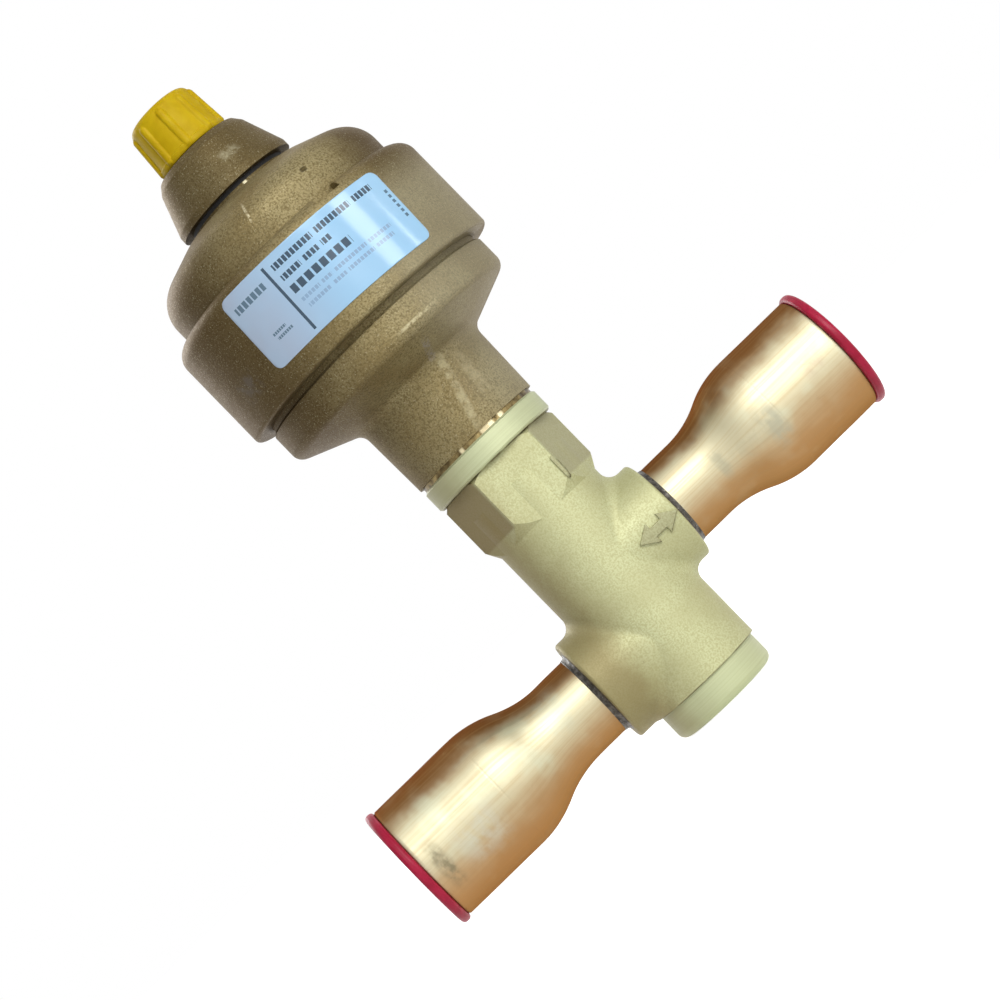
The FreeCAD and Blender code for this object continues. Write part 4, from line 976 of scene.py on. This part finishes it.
def add_label():
    """A thin film wrapped round the band, turned a little out of level, with rounded corners."""
    low, high = low_high("name_label")
    band_low, band_high = low_high("upper_housing")
    inner_r = (band_high.x - band_low.x) / 2 + label_gap_mm
    outer_r = -low.y
    middle_z = (low.z + high.z) / 2
    bm = bmesh.new()
    sheet = bm.loops.layers.uv.new("laid_out")

    def edge_inset(v):
        """How far the rounded corners cut in at a height v."""
        drop = max(0.0, abs(v) - (label_height_mm / 2 - label_corner_mm))
        return label_corner_mm - sqrt(max(0.0, label_corner_mm ** 2 - drop ** 2))

    def place(u, v, radius):
        x = u * cos(label_tilt) + v * sin(label_tilt)
        z = -u * sin(label_tilt) + v * cos(label_tilt)
        turn = x / radius
        return Vector((radius * sin(turn), -radius * cos(turn), middle_z + z)) * mm

    half_height = label_height_mm / 2
    straight = half_height - label_corner_mm
    corner_rows = stations(-half_height, -straight, label_corner_step_mm)
    middle_rows = stations(-straight, straight, label_row_step_mm)
    levels = corner_rows + middle_rows[1:] + [-v for v in reversed(corner_rows)][1:]
    grids = []
    for radius in (inner_r, outer_r):
        grid = []
        for v in levels:
            half = label_width_mm / 2 - edge_inset(v)
            row = []
            for k in range(label_columns + 1):
                u = -half + 2 * half * k / label_columns
                row.append((bm.verts.new(place(u, v, radius)), (u + label_width_mm / 2, v + half_height)))
            grid.append(row)
        grids.append(grid)

    def quad(*corners):
        face = bm.faces.new([vert for vert, _ in corners])
        for loop, (_, laid_out) in zip(face.loops, corners):
            loop[sheet].uv = laid_out

    last = len(levels) - 1
    side = label_columns
    inner, outer = grids
    for j in range(last):
        for k in range(side):
            quad(outer[j][k], outer[j][k + 1], outer[j + 1][k + 1], outer[j + 1][k])
            quad(inner[j][k + 1], inner[j][k], inner[j + 1][k], inner[j + 1][k + 1])
        quad(inner[j][0], outer[j][0], outer[j + 1][0], inner[j + 1][0])
        quad(outer[j][side], inner[j][side], inner[j + 1][side], outer[j + 1][side])
    for k in range(side):
        quad(inner[0][k], inner[0][k + 1], outer[0][k + 1], outer[0][k])
        quad(outer[last][k], outer[last][k + 1], inner[last][k + 1], inner[last][k])
    add_piece("wrapped_label", bm, paints["label_film"], "valve_shell", "label_film", "name_label")


# Stage: each lamp has its direction from the valve, its distance, size and power
room_light = 0.13
floor_z = -0.0003
floor_reach = 8.0
floor_lift = 0.88
lamp_target = Vector((0.0, 0.0, 0.09))
lamps = (
    ("key", (0.26, -0.86, 0.50), 1.2, 0.80, 10.5),
    ("sheen", (0.70, -0.70, 0.20), 1.3, 0.35, 1.5),
    ("label_glint", (0.904, -0.407, 0.125), 1.2, 0.08, 0.13),
    ("back", (-0.5, 0.8, 0.5), 1.3, 0.9, 7.0),
)


def seen_or_mirrored(tree):
    """1 for the rays of the camera, of glossy surfaces and of glass, and 0 for the others."""
    path = tree.nodes.new("ShaderNodeLightPath")
    rays = path.outputs["Is Camera Ray"]
    for other in ("Is Glossy Ray", "Is Transmission Ray"):
        either = tree.nodes.new("ShaderNodeMath")
        either.operation = "MAXIMUM"
        tree.links.new(rays, either.inputs[0])
        tree.links.new(path.outputs[other], either.inputs[1])
        rays = either.outputs[0]
    return rays


def add_room():
    """White where it is seen or mirrored, and a dim even light on everything else."""
    world = bpy.data.worlds.new("studio")
    bpy.context.scene.world = world
    world.use_nodes = True
    tree = world.node_tree
    background = tree.nodes["Background"]
    level = tree.nodes.new("ShaderNodeMapRange")
    tree.links.new(seen_or_mirrored(tree), level.inputs["Value"])
    level.inputs["To Min"].default_value = room_light
    level.inputs["To Max"].default_value = 1.0
    tree.links.new(level.outputs["Result"], background.inputs["Strength"])
    background.inputs["Color"].default_value = (1.0, 1.0, 1.0, 1.0)


def add_floor():
    """A pale floor just under the boss, lifted to white where it is seen, which keeps the shadow."""
    mesh = bpy.data.meshes.new("floor")
    corners = [(x, y, floor_z) for x, y in ((-floor_reach, -floor_reach), (floor_reach, -floor_reach),
                                            (floor_reach, floor_reach), (-floor_reach, floor_reach))]
    mesh.from_pydata(corners, [], [range(4)])
    floor = bpy.data.objects.new("floor", mesh)
    bpy.context.scene.collection.objects.link(floor)
    p = Paint("pale_floor")
    lift = p.math("MULTIPLY", seen_or_mirrored(p.tree), floor_lift)
    mesh.materials.append(p.finish((0.86, 0.86, 0.86), 0.8, specular_ior_level=0.1,
                                   emission_color=(1.0, 1.0, 1.0), emission_strength=lift))


def add_lamps():
    for name, direction, distance, size, power in lamps:
        lamp = bpy.data.lights.new(name, "AREA")
        lamp.shape = "DISK"
        lamp.size = size
        lamp.energy = power
        holder = bpy.data.objects.new(name, lamp)
        bpy.context.scene.collection.objects.link(holder)
        towards = Vector(direction).normalized()
        holder.location = lamp_target + towards * distance
        holder.rotation_euler = towards.to_track_quat("Z", "Y").to_euler()


add_camera()
paint_nodes()
add_copper("low", -1, low_axis_z, -low_copper_low.x, 3.0)
add_copper("high", 1, high_axis_z, high_copper_high.x, 11.0)
add_braze("low", -1, low_axis_z, 5.0)
add_braze("high", 1, high_axis_z, 17.0)
add_connector_shell()
body_front = body_surface()
add_flow_arrow(body_front)
add_rib_mark(body_front)
add_cap()
add_label()
add_room()
add_floor()
add_lamps()
bpy.context.scene.view_settings.view_transform = "Standard"
